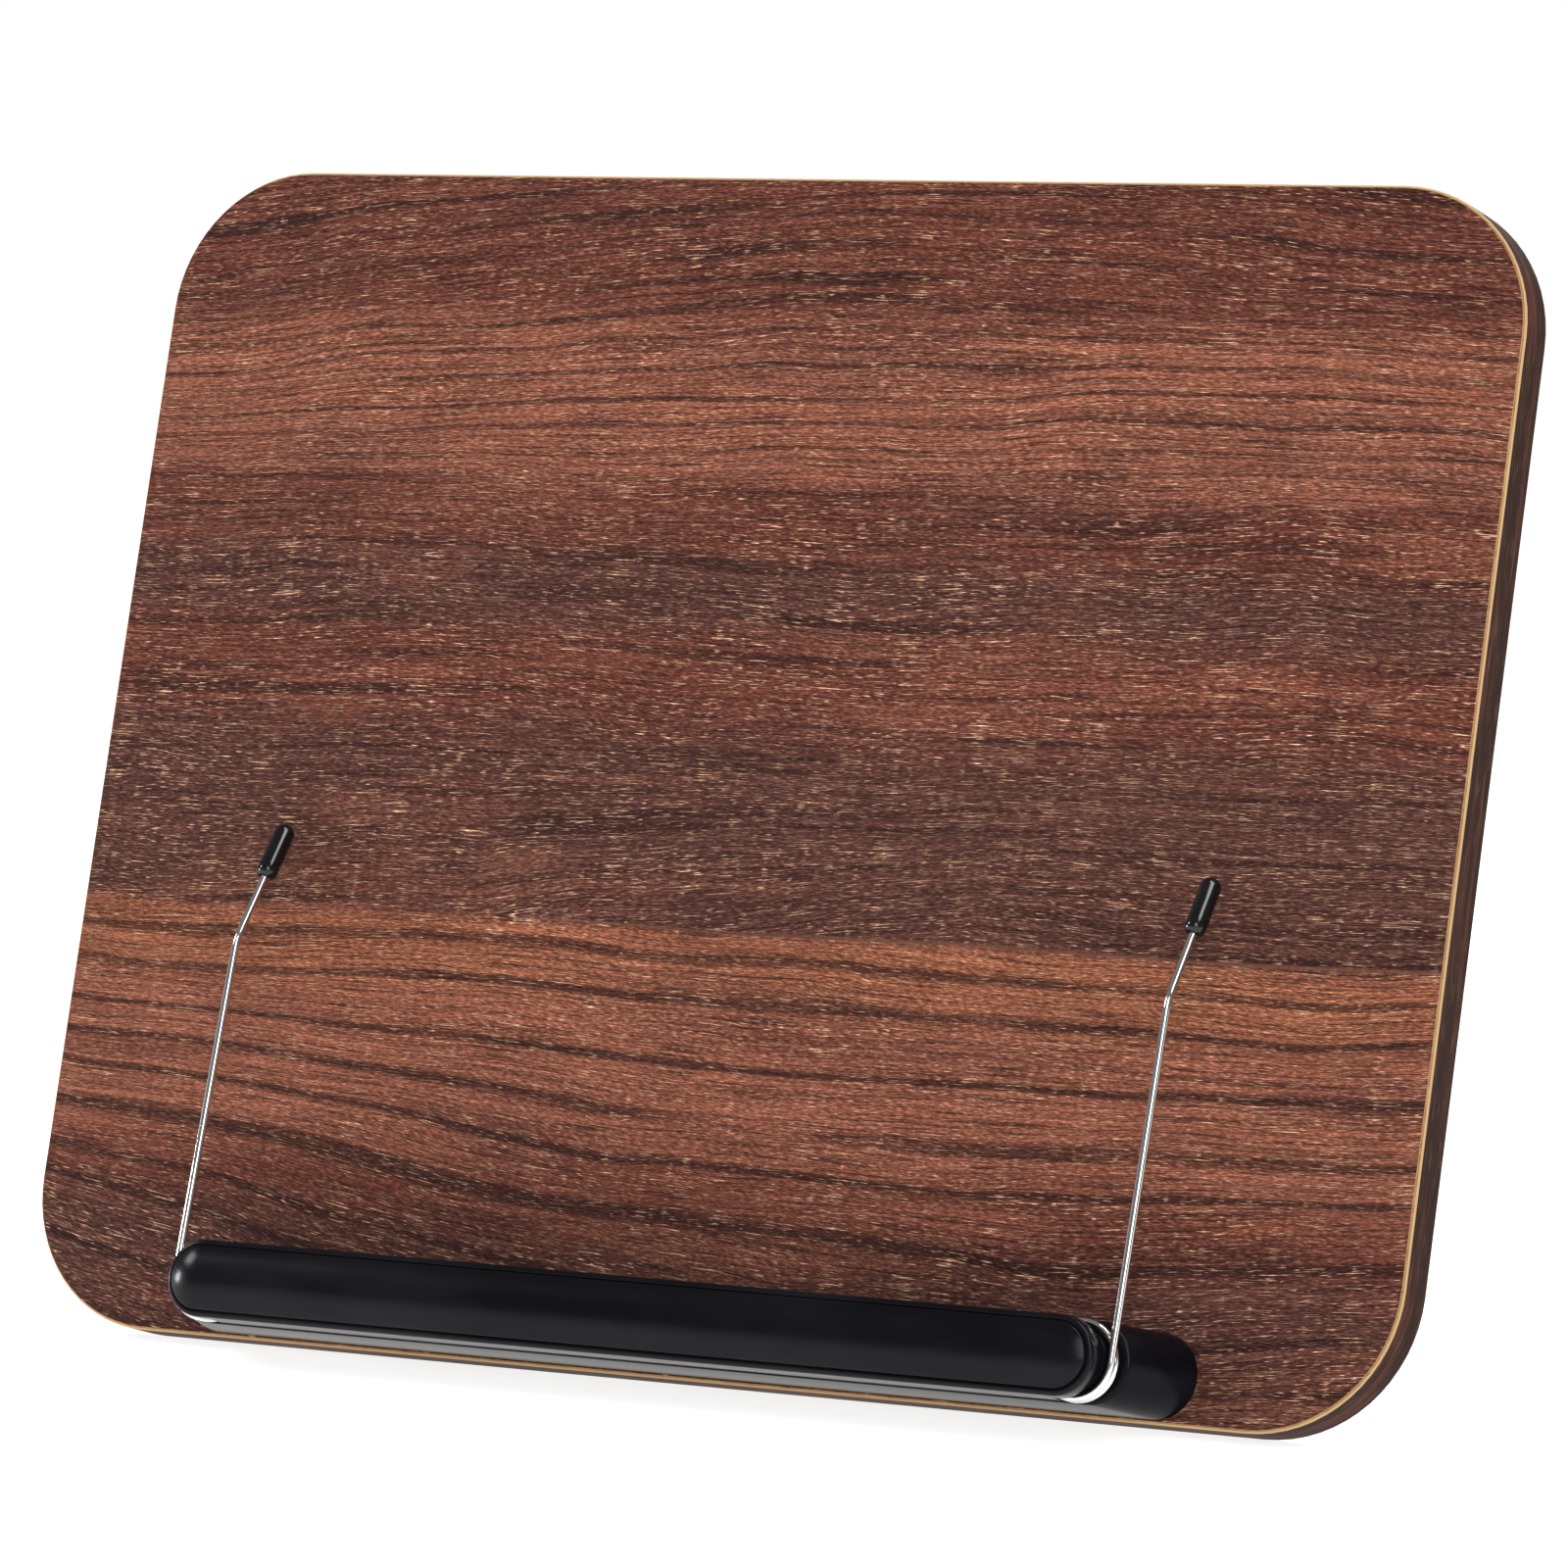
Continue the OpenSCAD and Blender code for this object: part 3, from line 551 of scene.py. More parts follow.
def pale_floor(name):
    """Plain pale studio floor with a barely visible unevenness."""
    glow = {"Emission Color": (1, 1, 1), "Emission Strength": 0.84}
    paint = Finish(name, **{"Specular IOR Level": 0.1, **glow})
    x, y, z = paint.place()
    cloud = paint.grain(x, y, z, 400, 400, 400, 1.0, 2.0)
    base = tuple(colours().floor)
    greyer = tuple(part * 0.97 for part in base)
    paint.shade(Base_Color=paint.mix(cloud * 0.5, base, greyer), Roughness=0.8 + cloud * 0.1)
    return paint.material


# Modelling


def start():
    if bpy.context.object and bpy.context.object.mode != "OBJECT":
        bpy.ops.object.mode_set(mode="OBJECT")
    bpy.ops.object.select_all(action="DESELECT")


def only(piece):
    """Selects one piece and nothing else."""
    start()
    piece.select_set(True)
    bpy.context.view_layer.objects.active = piece


def edit():
    """Opens the active piece for modelling."""
    bpy.ops.object.mode_set(mode="EDIT")


def pick(kind, test):
    """Selects the vertices, edges or faces that pass a test, and nothing else."""
    bpy.ops.mesh.select_mode(type=kind)
    bpy.ops.mesh.select_all(action="DESELECT")
    mesh = bpy.context.edit_object.data
    shape = bmesh.from_edit_mesh(mesh)
    found = {"VERT": shape.verts, "EDGE": shape.edges, "FACE": shape.faces}[kind]
    picked = [element for element in found if test(element)]
    for element in picked:
        element.select_set(True)
    bmesh.update_edit_mesh(mesh)
    if not picked:
        raise RuntimeError(f"{bpy.context.edit_object.name}: nothing to pick")


def level(height):
    """Test for what lies wholly at a height of the piece's own z axis."""
    return lambda element: all(abs(vertex.co.z - height) < TINY for vertex in element.verts)


def extrude(x=0.0, z=0.0):
    """Draws out what is selected."""
    bpy.ops.mesh.extrude_region_move(TRANSFORM_OT_translate={"value": (x, 0, z)})


def outward():
    """Closes the seams and turns every face outwards."""
    bpy.ops.mesh.select_all(action="SELECT")
    bpy.ops.mesh.remove_doubles(threshold=1e-7)
    bpy.ops.mesh.normals_make_consistent(inside=False)


def bevel(offset, segments):
    """Rounds the selected edges."""
    bpy.ops.mesh.bevel(offset=offset, segments=segments, affect="EDGES", clamp_overlap=False)


def settle(name, axes, finish, body, slot, *nodes, angle=35):
    """Places the piece being made, and gives it its body, its slot and the nodes it stands for."""
    if bpy.context.object.mode != "OBJECT":
        bpy.ops.object.mode_set(mode="OBJECT")
    piece = bpy.context.object
    piece.name = piece.data.name = name
    piece.matrix_world = axes
    bpy.ops.object.transform_apply()
    bpy.ops.object.shade_smooth_by_angle(angle=math.radians(angle))
    piece.data.materials.clear()
    piece.data.materials.append(finish)
    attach(piece, body)
    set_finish(piece, slot)
    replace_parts(piece, *nodes)
    piece.select_set(False)
    return piece


def mirrored(piece, name, body, node):
    """A copy of a piece on the other side of the stand, with a mesh of its own."""
    only(piece)
    bpy.ops.object.duplicate()
    copy = bpy.context.object
    copy.parent = None
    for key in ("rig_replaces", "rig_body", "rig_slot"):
        del copy[key]
    edit()
    bpy.ops.mesh.select_all(action="SELECT")
    bpy.ops.transform.resize(value=(-1, 1, 1), center_override=(0, 0, 0))
    outward()
    return settle(name, Matrix(), piece.data.materials[0], body, piece["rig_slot"], node)


def dress(node, finish):
    """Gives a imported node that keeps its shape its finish."""
    slots = frame["nodes"][node].material_slots
    if not slots:
        raise RuntimeError(f"{node} has no material slot")
    for slot in slots:
        slot.material = finish


def stadium(reach, half, height, sides=96):
    """Starts a piece as a filled stadium across x, with its face selected."""
    start()
    bpy.ops.mesh.primitive_circle_add(vertices=sides, radius=half, fill_type="NGON",
                                      location=(0, 0, height), rotation=(0, 0, math.pi / sides))
    bpy.ops.object.transform_apply()
    edit()
    for side in SIDES.values():
        pick("VERT", lambda vertex: vertex.co.x * side > 0)
        bpy.ops.transform.translate(value=(side * (reach - half), 0, 0))
    pick("FACE", level(height))


def taper(old, new):
    """Extrudes a stadium's face from one reach, half height and height to the next."""
    extrude(z=new[2] - old[2])
    for side in SIDES.values():
        pick("VERT", lambda vertex: vertex.co.x * side > 0 and abs(vertex.co.z - new[2]) < TINY)
        middle = old[0] - old[1]
        bpy.ops.transform.resize(value=(new[1] / old[1], new[1] / old[1], 1),
                                 center_override=(side * middle, 0, new[2]))
        bpy.ops.transform.translate(value=(side * (new[0] - new[1] - middle), 0, 0))
    pick("FACE", level(new[2]))


def turned(contour, sides=32, begin=True, at=(0, 0)):
    """Turns a piece about z: a disc is extruded and resized along a contour of radius and height.

    Where it doesn't begin a piece, it adds to the one being made.
    """
    radius, height = contour[0]
    if begin:
        start()
    bpy.ops.mesh.primitive_circle_add(vertices=sides, radius=radius, fill_type="NGON",
                                      location=(*at, height))
    if begin:
        bpy.ops.object.transform_apply()
        edit()
        bpy.ops.mesh.select_mode(type="FACE")
        bpy.ops.mesh.select_all(action="SELECT")
    for wide, high in contour[1:]:
        extrude(z=high - height)
        bpy.ops.transform.resize(value=(wide / radius, wide / radius, 1),
                                 center_override=(*at, high))
        radius, height = wide, high


def wire(points, thick, resolution=5):
    """Draws a wire: a point is extruded along a path, made a curve, rounded and made a mesh."""
    start()
    bpy.ops.mesh.primitive_plane_add(size=thick)
    edit()
    bpy.ops.mesh.select_mode(type="VERT")
    bpy.ops.mesh.select_all(action="SELECT")
    bpy.ops.mesh.merge(type="CENTER")
    bpy.ops.transform.translate(value=points[0])
    for old, new in zip(points, points[1:]):
        bpy.ops.mesh.extrude_vertices_move(TRANSFORM_OT_translate={"value": new - old})
    bpy.ops.object.mode_set(mode="OBJECT")
    bpy.ops.object.convert(target="CURVE")
    curve = bpy.context.object.data
    curve.dimensions = "3D"
    curve.bevel_depth = thick / 2
    curve.bevel_resolution = resolution
    curve.use_fill_caps = True
    bpy.ops.object.convert(target="MESH")
    edit()
    outward()


def cad_copy(node):
    """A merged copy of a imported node, in the board's axes and in edit mode."""
    piece = bpy.data.objects.new(node, frame["nodes"][node].data.copy())
    bpy.context.scene.collection.objects.link(piece)
    only(piece)
    piece.matrix_world = BOARD.inverted()
    bpy.ops.object.transform_apply()
    bpy.ops.mesh.customdata_custom_splitnormals_clear()
    edit()
    bpy.ops.mesh.select_all(action="SELECT")
    bpy.ops.mesh.remove_doubles(threshold=1e-6)
    bpy.ops.mesh.dissolve_limited(angle_limit=math.radians(0.3))


# Pieces


class BOOKSTAND_OT_board(bpy.types.Operator):
    """Finish the board: walnut laminates, edge band and fibreboard core"""

    bl_idname = "bookstand.board"
    bl_label = "Board"

    def execute(self, context):
        dress("front_laminate", walnut("walnut_front", 1.7))
        dress("rear_laminate", walnut("walnut_rear", 23.2))
        dress("edge_band", edge_band("walnut_edge_band"))
        dress("board_core", fibreboard("pressed_fibreboard"))
        return {"FINISHED"}


class BOOKSTAND_OT_ledge_base(bpy.types.Operator):
    """Model the ledge's tapered base with its clip posts and the web between them"""

    bl_idname = "bookstand.ledge_base"
    bl_label = "Ledge Base"

    def execute(self, context):
        size = sizes()
        foot = (size.base_reach - LEDGE_EASE, size.base_half - LEDGE_EASE, 0)
        wide = (size.base_reach, size.base_half, LEDGE_EASE)
        rim = (size.base_reach - size.rim_draw, size.rim_half, size.base_depth)
        stadium(*foot)
        taper(foot, wide)
        taper(wide, rim)
        outward()
        pick("EDGE", level(size.base_depth))
        bevel(RIM_ROUND, 4)
        self.web(size)
        post = [(size.post, size.base_depth - LEDGE_EASE),
                (size.post, size.base_depth + size.groove)]
        for side in SIDES.values():
            turned(post, 48, begin=False, at=(side * POST.x, 0))
        outward()
        finish = moulding("black_moulding_grooved", 0.2, 0.1, size.base_depth / MM)
        settle("ledge_base_moulding", LEDGE, finish, "stand", "black_abs", "ledge_base")
        return {"FINISHED"}

    def web(self, size):
        """Closes the groove between the posts; each end is hollowed to a round pocket."""
        sunk = size.base_depth - LEDGE_EASE
        half = min(size.rim_half, size.cap_half)
        for side in SIDES.values():
            bpy.ops.mesh.primitive_circle_add(vertices=96, radius=size.pocket,
                                              location=(side * POST.x, 0, sunk))
        pick("VERT", lambda vertex: not vertex.link_faces
             and (abs(vertex.co.x) > POST.x or abs(vertex.co.y) > half))
        bpy.ops.mesh.delete(type="VERT")
        pick("EDGE", lambda edge: not edge.link_faces)
        bpy.ops.mesh.bridge_edge_loops()
        pick("FACE", level(sunk))
        extrude(z=size.base_depth + size.groove - sunk)


class BOOKSTAND_OT_ledge_cap(bpy.types.Operator):
    """Model the ledge's front cap with its rounded rim and crowned pillow"""

    bl_idname = "bookstand.ledge_cap"
    bl_label = "Ledge Cap"

    def execute(self, context):
        size = sizes()
        back = size.base_depth + size.groove
        rim = back + size.cap_thick
        step = rim + size.pillow_step
        stadium(size.cap_reach, size.cap_half, back, 128)
        extrude(z=size.cap_thick)
        outward()
        pick("EDGE", level(back))
        bevel(CAP_BACK_ROUND, 2)
        pick("EDGE", level(rim))
        bevel(size.cap_round, 5)
        pick("FACE", level(rim))
        land = size.cap_half - size.cap_round - size.pillow_half - size.crease
        bpy.ops.mesh.inset(thickness=land)
        bpy.ops.mesh.inset(thickness=size.crease / 2, depth=-size.crease)
        bpy.ops.mesh.inset(thickness=size.crease / 2)
        extrude(z=size.crease + size.pillow_step)
        self.crown(size, step)
        sharp = 0.6
        pick("EDGE", lambda edge: level(rim)(edge) and edge.calc_face_angle() > sharp)
        bevel(CREASE_ROUND, 2)
        pick("EDGE", lambda edge: level(step)(edge) and len(edge.link_faces) == 2)
        bevel(STEP_ROUND, 2)
        outward()
        finish = moulding("black_moulding_cap", 0.22, 0.16)
        settle("ledge_cap_moulding", LEDGE, finish, "stand", "black_abs", "ledge_cap")
        return {"FINISHED"}

    def crown(self, size, step):
        """Insets the pillow's face in steps that rise along a circle."""
        circle = (size.pillow_half ** 2 + size.crown ** 2) / (2 * size.crown)
        steps, shrink = 14, 0.94
        wide, high = size.pillow_half, step
        for i in range(1, steps + 1):
            narrow = size.pillow_half * (1 - shrink * i / steps)
            rise = step + size.crown - circle + math.sqrt(circle ** 2 - narrow ** 2)
            bpy.ops.mesh.inset(thickness=wide - narrow, depth=rise - high)
            wide, high = narrow, rise


class BOOKSTAND_OT_clip_wires(bpy.types.Operator):
    """Bend the two page clips, each coiled round its post"""

    bl_idname = "bookstand.clip_wires"
    bl_label = "Clip Wires"

    def execute(self, context):
        steel = metal("clip_bright_wire", tuple(colours().wire), 0.08, 0.04, (3, 3, 3))
        axes = LEDGE @ Matrix.Translation((POST.x, 0, 0))
        wire(clip_path(), sizes().clip_wire, 6)
        right = settle("right_clip_bent_wire", axes, steel, "right_clip", "bright_wire",
                       "right_clip_wire", angle=50)
        mirrored(right, "left_clip_bent_wire", "left_clip", "left_clip_wire")
        return {"FINISHED"}


def clip_ends():
    """The arm's start, bend and tip, from the middle of the clip's post."""
    size = sizes()
    coil = size.post + size.coil_gap + size.clip_wire / 2
    arm = size.base_depth + size.groove - size.clip_wire / 2 - size.arm_gap
    bend = Vector((coil, size.bend_rise, arm - size.bend_drop))
    return Vector((coil, 0, arm)), bend, bend + Vector((0, size.tip_rise, -size.tip_drop))


def clip_path():
    """Middle line of the clip's wire: its cut end, its coil, its arm with one bend, and its end."""
    size = sizes()
    arm, bend, tip = clip_ends()
    per_turn, bends = 40, 8
    rounding = 2.5 * MM
    short = 3 * MM  # of the sleeve's end
    count = round(size.coil_turns * per_turn)
    path = []
    for i in range(count + 1):
        turn = size.coil_turns * (i / count - 1)
        angle = 2 * math.pi * turn
        path.append(Vector((arm.x * math.cos(angle), arm.x * math.sin(angle),
                            arm.z + size.coil_pitch * turn)))
    path.insert(0, path[0] - size.clip_wire * (path[1] - path[0]).normalized())
    before = bend - rounding * (bend - arm).normalized()
    after = bend + rounding * (tip - bend).normalized()
    for i in range(bends + 1):
        t = i / bends
        path.append((1 - t) ** 2 * before + 2 * t * (1 - t) * bend + t * t * after)
    path.append(tip - short * (tip - bend).normalized())
    return path


class BOOKSTAND_OT_clip_tips(bpy.types.Operator):
    """Model the glossy sleeves pushed on the ends of the clips"""

    bl_idname = "bookstand.clip_tips"
    bl_label = "Clip Tips"

    def execute(self, context):
        size = sizes()
        full = size.tip_wide / 2
        body = full - 0.05 * MM
        end = size.tip_long
        bore = size.clip_wire / 2 + 0.04 * MM
        dome = [(body * math.sin(angle), body * (1 - math.cos(angle)))
                for angle in (math.radians(step) for step in range(6, 91, 7))]
        lip = [(full, end - 3 * MM), (full, end - 1.6 * MM), (full - 0.15 * MM, end - 0.9 * MM),
               (full - 0.45 * MM, end - 0.4 * MM), (full - 0.8 * MM, end - 0.08 * MM),
               (full - 1.05 * MM, end)]
        mouth = [(bore + 0.25 * MM, end), (bore, end - 0.25 * MM), (bore, end - 2 * MM)]
        turned([*dome, (body, 0.5 * end), *lip, *mouth], 40)
        outward()
        tip = clip_ends()[2]
        slope = math.atan2(size.tip_drop, size.tip_rise)
        place = Matrix.Translation(Vector((POST.x, 0, 0)) + tip)
        axes = LEDGE @ place @ turn_x(math.pi / 2 - slope)
        vinyl = soft_black("glossy_black_vinyl", tuple(colours().vinyl), 0.1, 0.5)
        right = settle("right_clip_sleeve", axes, vinyl, "right_clip", "black_vinyl",
                       "right_clip_tip")
        mirrored(right, "left_clip_sleeve", "left_clip", "left_clip_tip")
        return {"FINISHED"}


class BOOKSTAND_OT_hinge_housing(bpy.types.Operator):
    """Finish the hinge's base and cover with eased edges"""

    bl_idname = "bookstand.hinge_housing"
    bl_label = "Hinge Housing"

    def execute(self, context):
        black = moulding("black_moulding_hinge", 0.38, 0.4)
        clear = 1 * MM
        stop = max(point.y for point in places("hinge_cover", BOARD)) - HINGE_UP + clear
        cad_copy("hinge_base")
        for side in SIDES.values():
            bpy.ops.mesh.select_all(action="SELECT")
            bpy.ops.mesh.bisect(plane_co=(0, HINGE_UP + side * stop, 0), plane_no=(0, 1, 0))
        self.ease("hinge_base", -BOARD_T - sizes().hinge_plate, stop)
        settle("hinge_base_moulding", BOARD, black, "stand", "black_abs", "hinge_base", angle=30)
        cad_copy("hinge_cover")
        self.ease("hinge_cover", min(point.z for point in places("hinge_cover", BOARD)), 0)
        settle("hinge_cover_moulding", BOARD, black, "stand", "black_abs", "hinge_cover", angle=30)
        return {"FINISHED"}

    def ease(self, node, height, stop):
        """Rounds a plate's outline at a height, from stop above and below the hinge outwards."""
        long = max(point.x for point in places(node, BOARD))
        high = max(point.y for point in places(node, BOARD)) - HINGE_UP
        corner = 8 * MM
        sharp = 1

        def outline(edge):
            middle = (edge.verts[0].co + edge.verts[1].co) / 2
            aside = abs(middle.y - HINGE_UP)
            outer = abs(middle.x) > long - corner or aside > high - TINY
            crisp = len(edge.link_faces) == 2 and edge.calc_face_angle() > sharp
            return level(height)(edge) and outer and aside >= stop and crisp

        pick("EDGE", outline)
        bevel(HINGE_ROUND, 3)


class BOOKSTAND_OT_ratchet(bpy.types.Operator):
    """Finish the ratchet drums and their springs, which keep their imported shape"""

    bl_idname = "bookstand.ratchet"
    bl_label = "Ratchet"

    def execute(self, context):
        acetal = soft_black("moulded_acetal", tuple(colours().drum), 0.34, 0.5)
        strip = metal("spring_strip", tuple(colours().strip), 0.28, 0.2, (0.4, 8, 8))
        for side in SIDES:
            dress(f"{side}_ratchet_drum", acetal)
            dress(f"{side}_detent_spring", strip)
        return {"FINISHED"}


class BOOKSTAND_OT_leg(bpy.types.Operator):
    """Bend the leg from one wire, with a turned journal at each end"""

    bl_idname = "bookstand.leg"
    bl_label = "Leg"

    def execute(self, context):
        size = sizes()
        half = leg_path()
        path = half + [Vector((-point.x, point.y, 0)) for point in reversed(half)]
        wire(path, size.leg_wire, 8)
        self.journals(size, half[0].x)
        outward()
        steel = metal("leg_bright_wire", tuple(colours().leg), 0.18, 0.1, (4, 4, 4))
        settle("leg_bent_wire", LEG, steel, "leg", "bright_wire", "leg_wire", angle=50)
        return {"FINISHED"}

    def journals(self, size, shoulder):
        """Turns each end of the wire down to a journal with an eased end."""
        inner = min(abs(point.x) for point in places("leg_wire", LEG)
                    if abs(point.y) < size.leg_wire)
        ease, slimmer = 0.5 * MM, 0.8
        steps = ((0, size.journal / size.leg_wire), (inner + ease - shoulder, 1), (-ease, slimmer))
        for side in SIDES.values():
            end = side * shoulder
            pick("FACE", lambda face: all(abs(vertex.co.x - end) < TINY for vertex in face.verts))
            for reach, slim in steps:
                extrude(x=side * reach)
                bpy.ops.transform.resize(value=(1, slim, slim), center_override=(end, 0, 0))


def leg_path():
    """Middle line of the leg's right half, from its shoulder beside the hinge to the cross bar."""
    size = sizes()
    gap, bends = 0.5 * MM, 16
    end = max(point.x for point in places("hinge_base", BOARD))
    side = Vector((math.cos(size.flare), math.sin(size.flare)))
    reach = FOOT.yz.length
    hip = Vector((end + size.leg_wire / 2, -size.hip))
    shin = (reach - size.hip - size.knee + (size.hip - size.knee) * side.y) / side.x
    knee = hip + (size.hip - size.knee) * side + shin * Vector((side.y, -side.x))
    path = [Vector((end + gap, 0, 0))]
    for middle, bend, begin, stop in ((hip, size.hip, math.pi / 2, size.flare),
                                      (knee, size.knee, size.flare, -math.pi / 2)):
        for i in range(bends + 1):
            angle = begin + (stop - begin) * i / bends
            path.append(Vector((middle.x + bend * math.cos(angle),
                                middle.y + bend * math.sin(angle), 0)))
    return path


class BOOKSTAND_OT_leg_feet(bpy.types.Operator):
    """Model the rubber sleeves on the leg's cross bar"""

    bl_idname = "bookstand.leg_feet"
    bl_label = "Leg Feet"

    def execute(self, context):
        size = sizes()
        low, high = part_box("right_leg_foot")
        long = high.x - low.x
        full = size.foot_wide / 2
        bore = size.leg_wire / 2 + 0.03 * MM
        lip = [(bore, 1 * MM), (bore, 0), (full - 0.9 * MM, 0), (full - 0.45 * MM, 0.12 * MM),
               (full - 0.13 * MM, 0.45 * MM), (full, 0.9 * MM)]
        groove = [(full, 3 * MM), (full - 0.25 * MM, 3.25 * MM), (full - 0.25 * MM, 3.75 * MM),
                  (full, 4 * MM)]
        half = lip + groove
        turned(half + [(wide, long - along) for wide, along in reversed(half)], 40)
        outward()
        along_bar = Matrix.Rotation(math.pi / 2, 4, "Y")
        axes = LEG @ Matrix.Translation((low.x, -FOOT.yz.length, 0)) @ along_bar
        rubber = soft_black("matt_black_rubber", tuple(colours().rubber), 0.62, 0.35)
        right = settle("right_foot_sleeve", axes, rubber, "leg", "foot_rubber", "right_leg_foot")
        mirrored(right, "left_foot_sleeve", "leg", "left_leg_foot")
        return {"FINISHED"}


class BOOKSTAND_OT_screws(bpy.types.Operator):
    """Model the screws behind the board, with cross recesses, and finish the hidden ones"""

    bl_idname = "bookstand.screws"
    bl_label = "Screws"

    def execute(self, context):
        zinc = metal("zinc_plated_screw", tuple(colours().zinc), 0.24, 0.12, (0.5, 0.5, 0.5))
        dress("cap_screws", zinc)
        hinge_spots = [(x, HINGE_UP + y) for x in (-HINGE_SCREW_ASIDE, HINGE_SCREW_ASIDE)
                       for y in (-HINGE_SCREW_UP, HINGE_SCREW_UP)]
        cover_spots = [(x, HINGE_UP) for x in (-COVER_SCREW_ASIDE, COVER_SCREW_ASIDE)]
        ledge_spots = [(x, POST.y) for x in (-LEDGE_SCREW_ASIDE, 0, LEDGE_SCREW_ASIDE)]
        self.batch("hinge_screw_set", "hinge_screws", pan_head(*HINGE_SCREW), hinge_spots, zinc)
        self.batch("cover_screw_set", "cover_screws", pan_head(*COVER_SCREW), cover_spots, zinc)
        self.batch("ledge_screw_set", "ledge_screws", sunk_head(*LEDGE_SCREW), ledge_spots, zinc)
        return {"FINISHED"}

    def batch(self, name, node, contour, spots, finish):
        """One screw is turned, gets its recess and is copied to its places."""
        turned(contour, 32)
        outward()
        bpy.ops.object.mode_set(mode="OBJECT")
        screw = bpy.context.object
        recess(screw, max(wide for wide, high in contour))
        copies = [screw]
        while len(copies) < len(spots):
            only(screw)
            bpy.ops.object.duplicate()
            copies.append(bpy.context.object)
        top = -min(point.z for point in places(node, BOARD)) - BOARD_T
        start()
        for copy, (x, y) in zip(copies, spots):
            copy.location = (x, y, top)
            copy.rotation_euler.z = CROSS_TURN * (x + y) / MM
            copy.select_set(True)
        bpy.context.view_layer.objects.active = screw
        bpy.ops.object.transform_apply()
        bpy.ops.object.join()
        rear = BOARD @ Matrix.Translation((0, 0, -BOARD_T)) @ Matrix.Rotation(math.pi, 4, "Y")
        settle(name, rear, finish, "stand", "screw_steel", node, angle=28)


def pan_head(shank, long):
    """Contour of a pan-head screw from its point to the top of its head, which is at zero."""
    head, high = 1.9 * shank, 1.3 * shank
    return [(0.3 * shank, -high - long), (shank, -high - long + 1.6 * shank), (shank, -high),
            (head - 0.1 * MM, -high), (head, -high + 0.1 * MM), (head, -0.5 * high),
            (0.95 * head, -0.25 * high), (0.84 * head, -0.09 * high), (0.66 * head, 0)]


def sunk_head(shank, long):
    """Contour of a countersunk screw from its point to the top of its head, which is at zero."""
    head = 2 * shank
    return [(0.3 * shank, -long), (shank, -long + 1.6 * shank), (shank, -shank),
            (head - 0.1 * MM, -0.12 * MM), (head, -0.05 * MM), (head - 0.08 * MM, 0)]


def recess(screw, head):
    """Sinks a cross into a screw's head with a cutter of two tapered bars."""
    long, wide = 1.1 * head, 0.22 * head
    shorter, slimmer = 0.45, 0.7
    start()
    bpy.ops.mesh.primitive_cube_add(size=1)
    cutter = bpy.context.object
    edit()
    bpy.ops.transform.resize(value=(long, wide, long))
    pick("VERT", lambda vertex: vertex.co.z < 0)
    bpy.ops.transform.resize(value=(shorter, slimmer, 1), center_override=(0, 0, 0))
    bpy.ops.object.mode_set(mode="OBJECT")
    for angle in (0, math.pi / 2):
        cutter.rotation_euler.z = angle
        bpy.context.view_layer.update()
        only(screw)
        cut = screw.modifiers.new("recess", "BOOLEAN")
        cut.operation = "DIFFERENCE"
        cut.solver = "EXACT"
        cut.object = cutter
        bpy.ops.object.modifier_apply(modifier=cut.name)
    bpy.data.objects.remove(cutter)


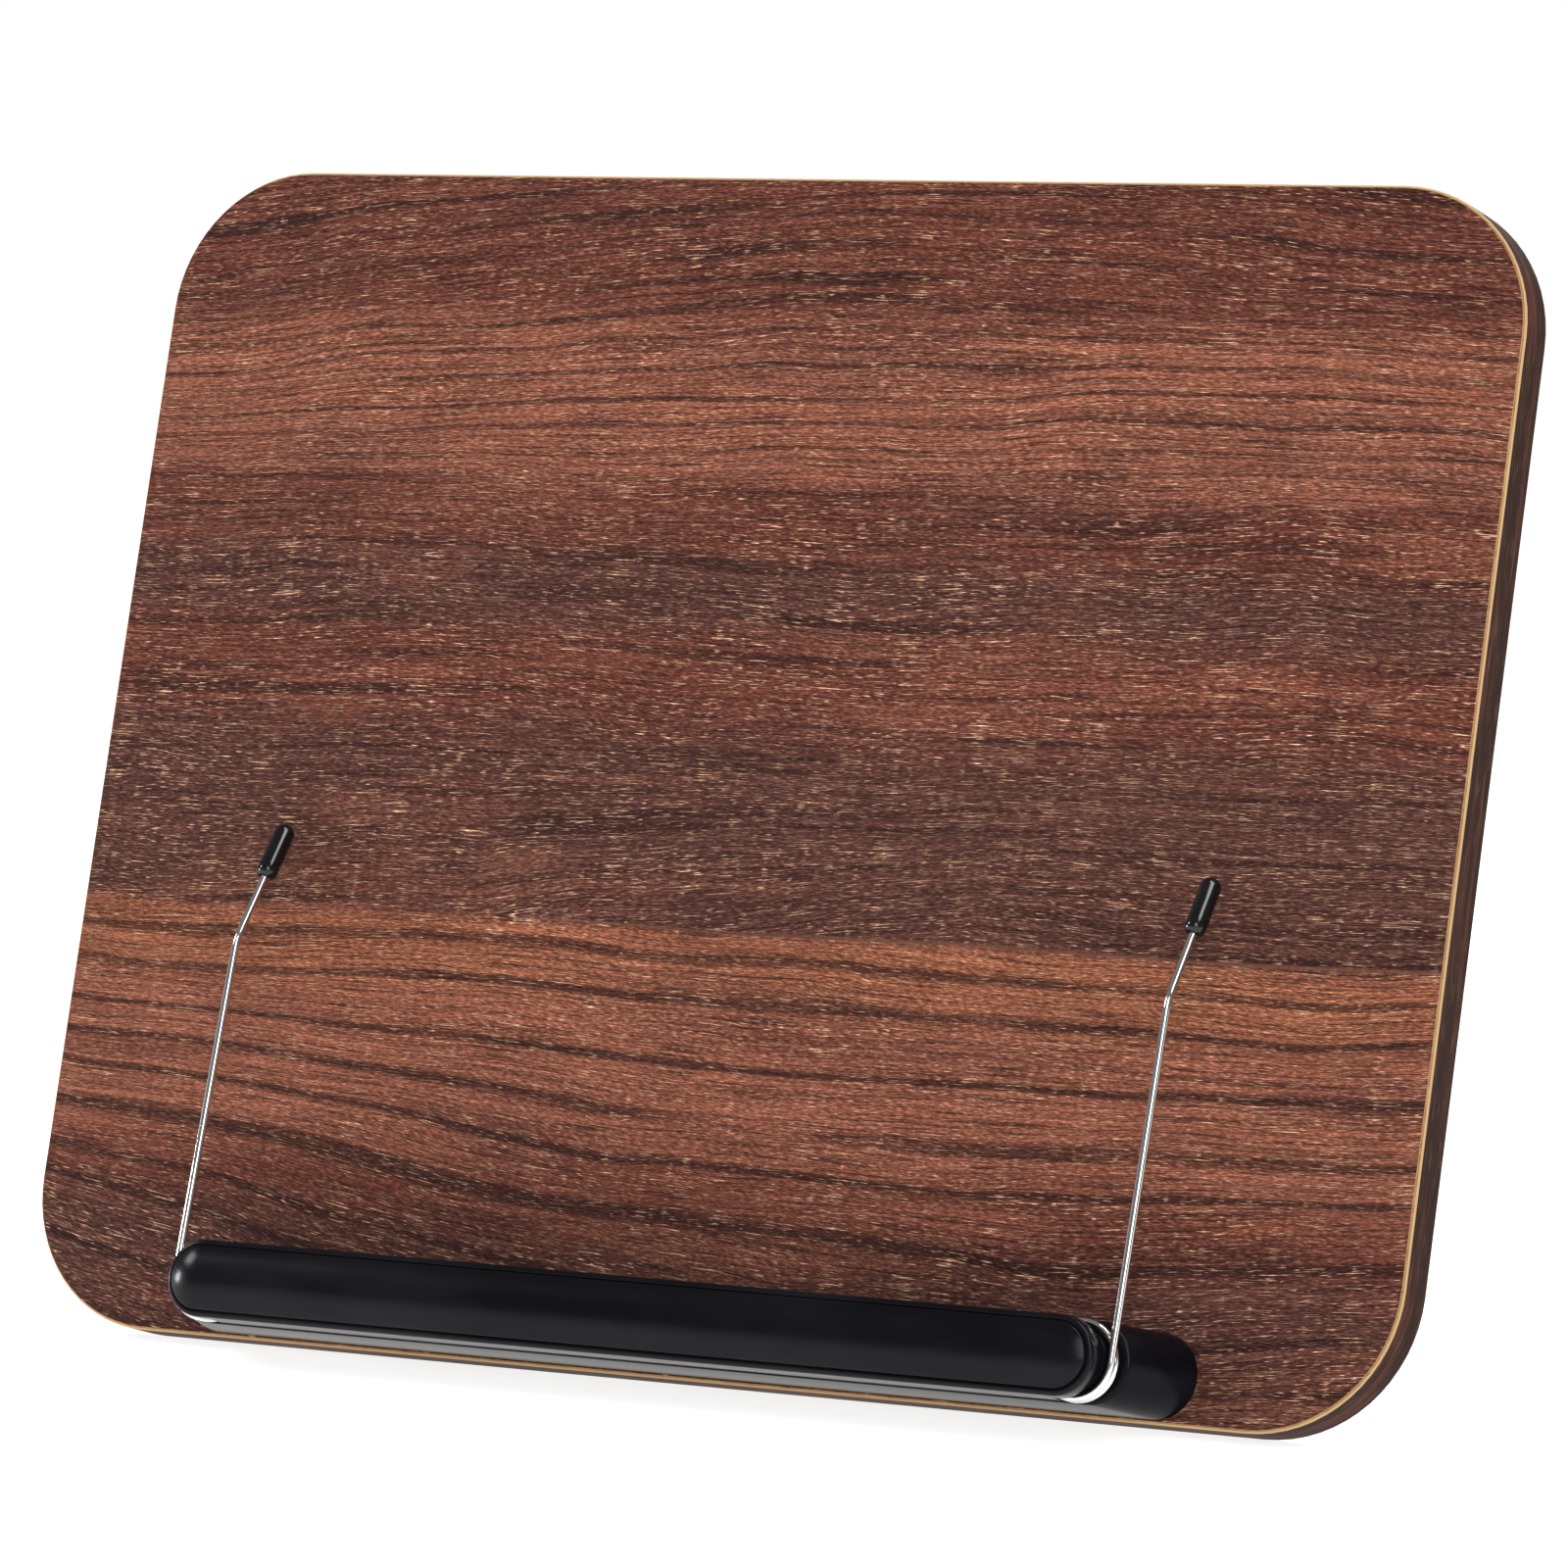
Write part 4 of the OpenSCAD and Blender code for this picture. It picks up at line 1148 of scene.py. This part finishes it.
class BOOKSTAND_OT_stage(bpy.types.Operator):
    """Set up the pale floor, the soft lights and the camera"""

    bl_idname = "bookstand.stage"
    bl_label = "Stage"

    def execute(self, context):
        start()
        bpy.ops.mesh.primitive_circle_add(vertices=96, radius=FLOOR_RADIUS, fill_type="NGON")
        floor = bpy.context.object
        floor.name = "pale_floor"
        floor.data.materials.append(pale_floor("pale_floor"))
        scene = context.scene
        scene.view_settings.view_transform = "Standard"
        self.room(scene)
        for name, light in LIGHTS.items():
            self.lamp(name, *light)
        self.camera(scene)
        return {"FINISHED"}

    def room(self, scene):
        """A room with a white wall behind the stand and a low one all round, dimmer above."""
        scene.world = bpy.data.worlds.new("white_room")
        scene.world.use_nodes = True
        nodes = Nodes(scene.world.node_tree)
        x, y, z = nodes.split(nodes.node("ShaderNodeTexCoord", output="Generated"))
        behind = nodes.fade(x * -0.49 + y * 0.87, 0.6, 0.92)
        wall = behind.math("MAXIMUM", nodes.fade(z, 0.17, 0.1))
        dim, white = (0.2, 0.2, 0.2), (1.0, 1.0, 1.0)
        light = nodes.mix(wall, dim, white)
        nodes.feed(scene.world.node_tree.nodes["Background"], {"Color": light, "Strength": 1.0})

    def lamp(self, name, place, wide, high, power):
        """A soft light of a size and power, aimed at the stand."""
        bpy.ops.object.light_add(type="AREA", location=place)
        lamp = bpy.context.object
        lamp.name = name
        lamp.data.energy = power
        lamp.data.shape = "RECTANGLE"
        lamp.data.size = wide
        lamp.data.size_y = high
        aim = LIT_POINT - Vector(place)
        lamp.rotation_euler = aim.to_track_quat("-Z", "Y").to_euler()
        lamp.select_set(False)

    def camera(self, scene):
        """Long lens, a little above the stand and to its right."""
        bpy.ops.object.camera_add(location=CAMERA_PLACE)
        camera = bpy.context.object
        camera.name = "photo_camera"
        camera.data.lens = CAMERA_LENS
        camera.data.sensor_width = 36
        camera.rotation_euler = CAMERA_VIEW.to_track_quat("-Z", "Y").to_euler()
        camera.data.clip_start = 0.05
        camera.data.clip_end = 100
        scene.camera = camera


class BOOKSTAND_PT_panel(bpy.types.Panel):
    """Lists the pieces of the stand"""

    bl_idname = "BOOKSTAND_PT_panel"
    bl_label = "Book Stand"
    bl_space_type = "VIEW_3D"
    bl_region_type = "UI"
    bl_category = "Book Stand"

    def draw(self, context):
        for operator in OPERATORS:
            self.layout.operator(operator.bl_idname)


OPERATORS = (
    BOOKSTAND_OT_board, BOOKSTAND_OT_ledge_base, BOOKSTAND_OT_ledge_cap, BOOKSTAND_OT_clip_wires,
    BOOKSTAND_OT_clip_tips, BOOKSTAND_OT_hinge_housing, BOOKSTAND_OT_ratchet, BOOKSTAND_OT_leg,
    BOOKSTAND_OT_leg_feet, BOOKSTAND_OT_screws, BOOKSTAND_OT_stage,
)
CLASSES = (BookStandSizes, BookStandColours, *OPERATORS, BOOKSTAND_PT_panel)


def register():
    for kind in CLASSES:
        bpy.utils.register_class(kind)
    bpy.types.Scene.book_stand_sizes = bpy.props.PointerProperty(type=BookStandSizes)
    bpy.types.Scene.book_stand_colours = bpy.props.PointerProperty(type=BookStandColours)


def unregister():
    del bpy.types.Scene.book_stand_colours
    del bpy.types.Scene.book_stand_sizes
    for kind in reversed(CLASSES):
        bpy.utils.unregister_class(kind)


def main():
    register()
    bpy.ops.bookstand.board()
    bpy.ops.bookstand.ledge_base()
    bpy.ops.bookstand.ledge_cap()
    bpy.ops.bookstand.clip_wires()
    bpy.ops.bookstand.clip_tips()
    bpy.ops.bookstand.hinge_housing()
    bpy.ops.bookstand.ratchet()
    bpy.ops.bookstand.leg()
    bpy.ops.bookstand.leg_feet()
    bpy.ops.bookstand.screws()
    bpy.ops.bookstand.stage()


if __name__ == "__main__":
    main()
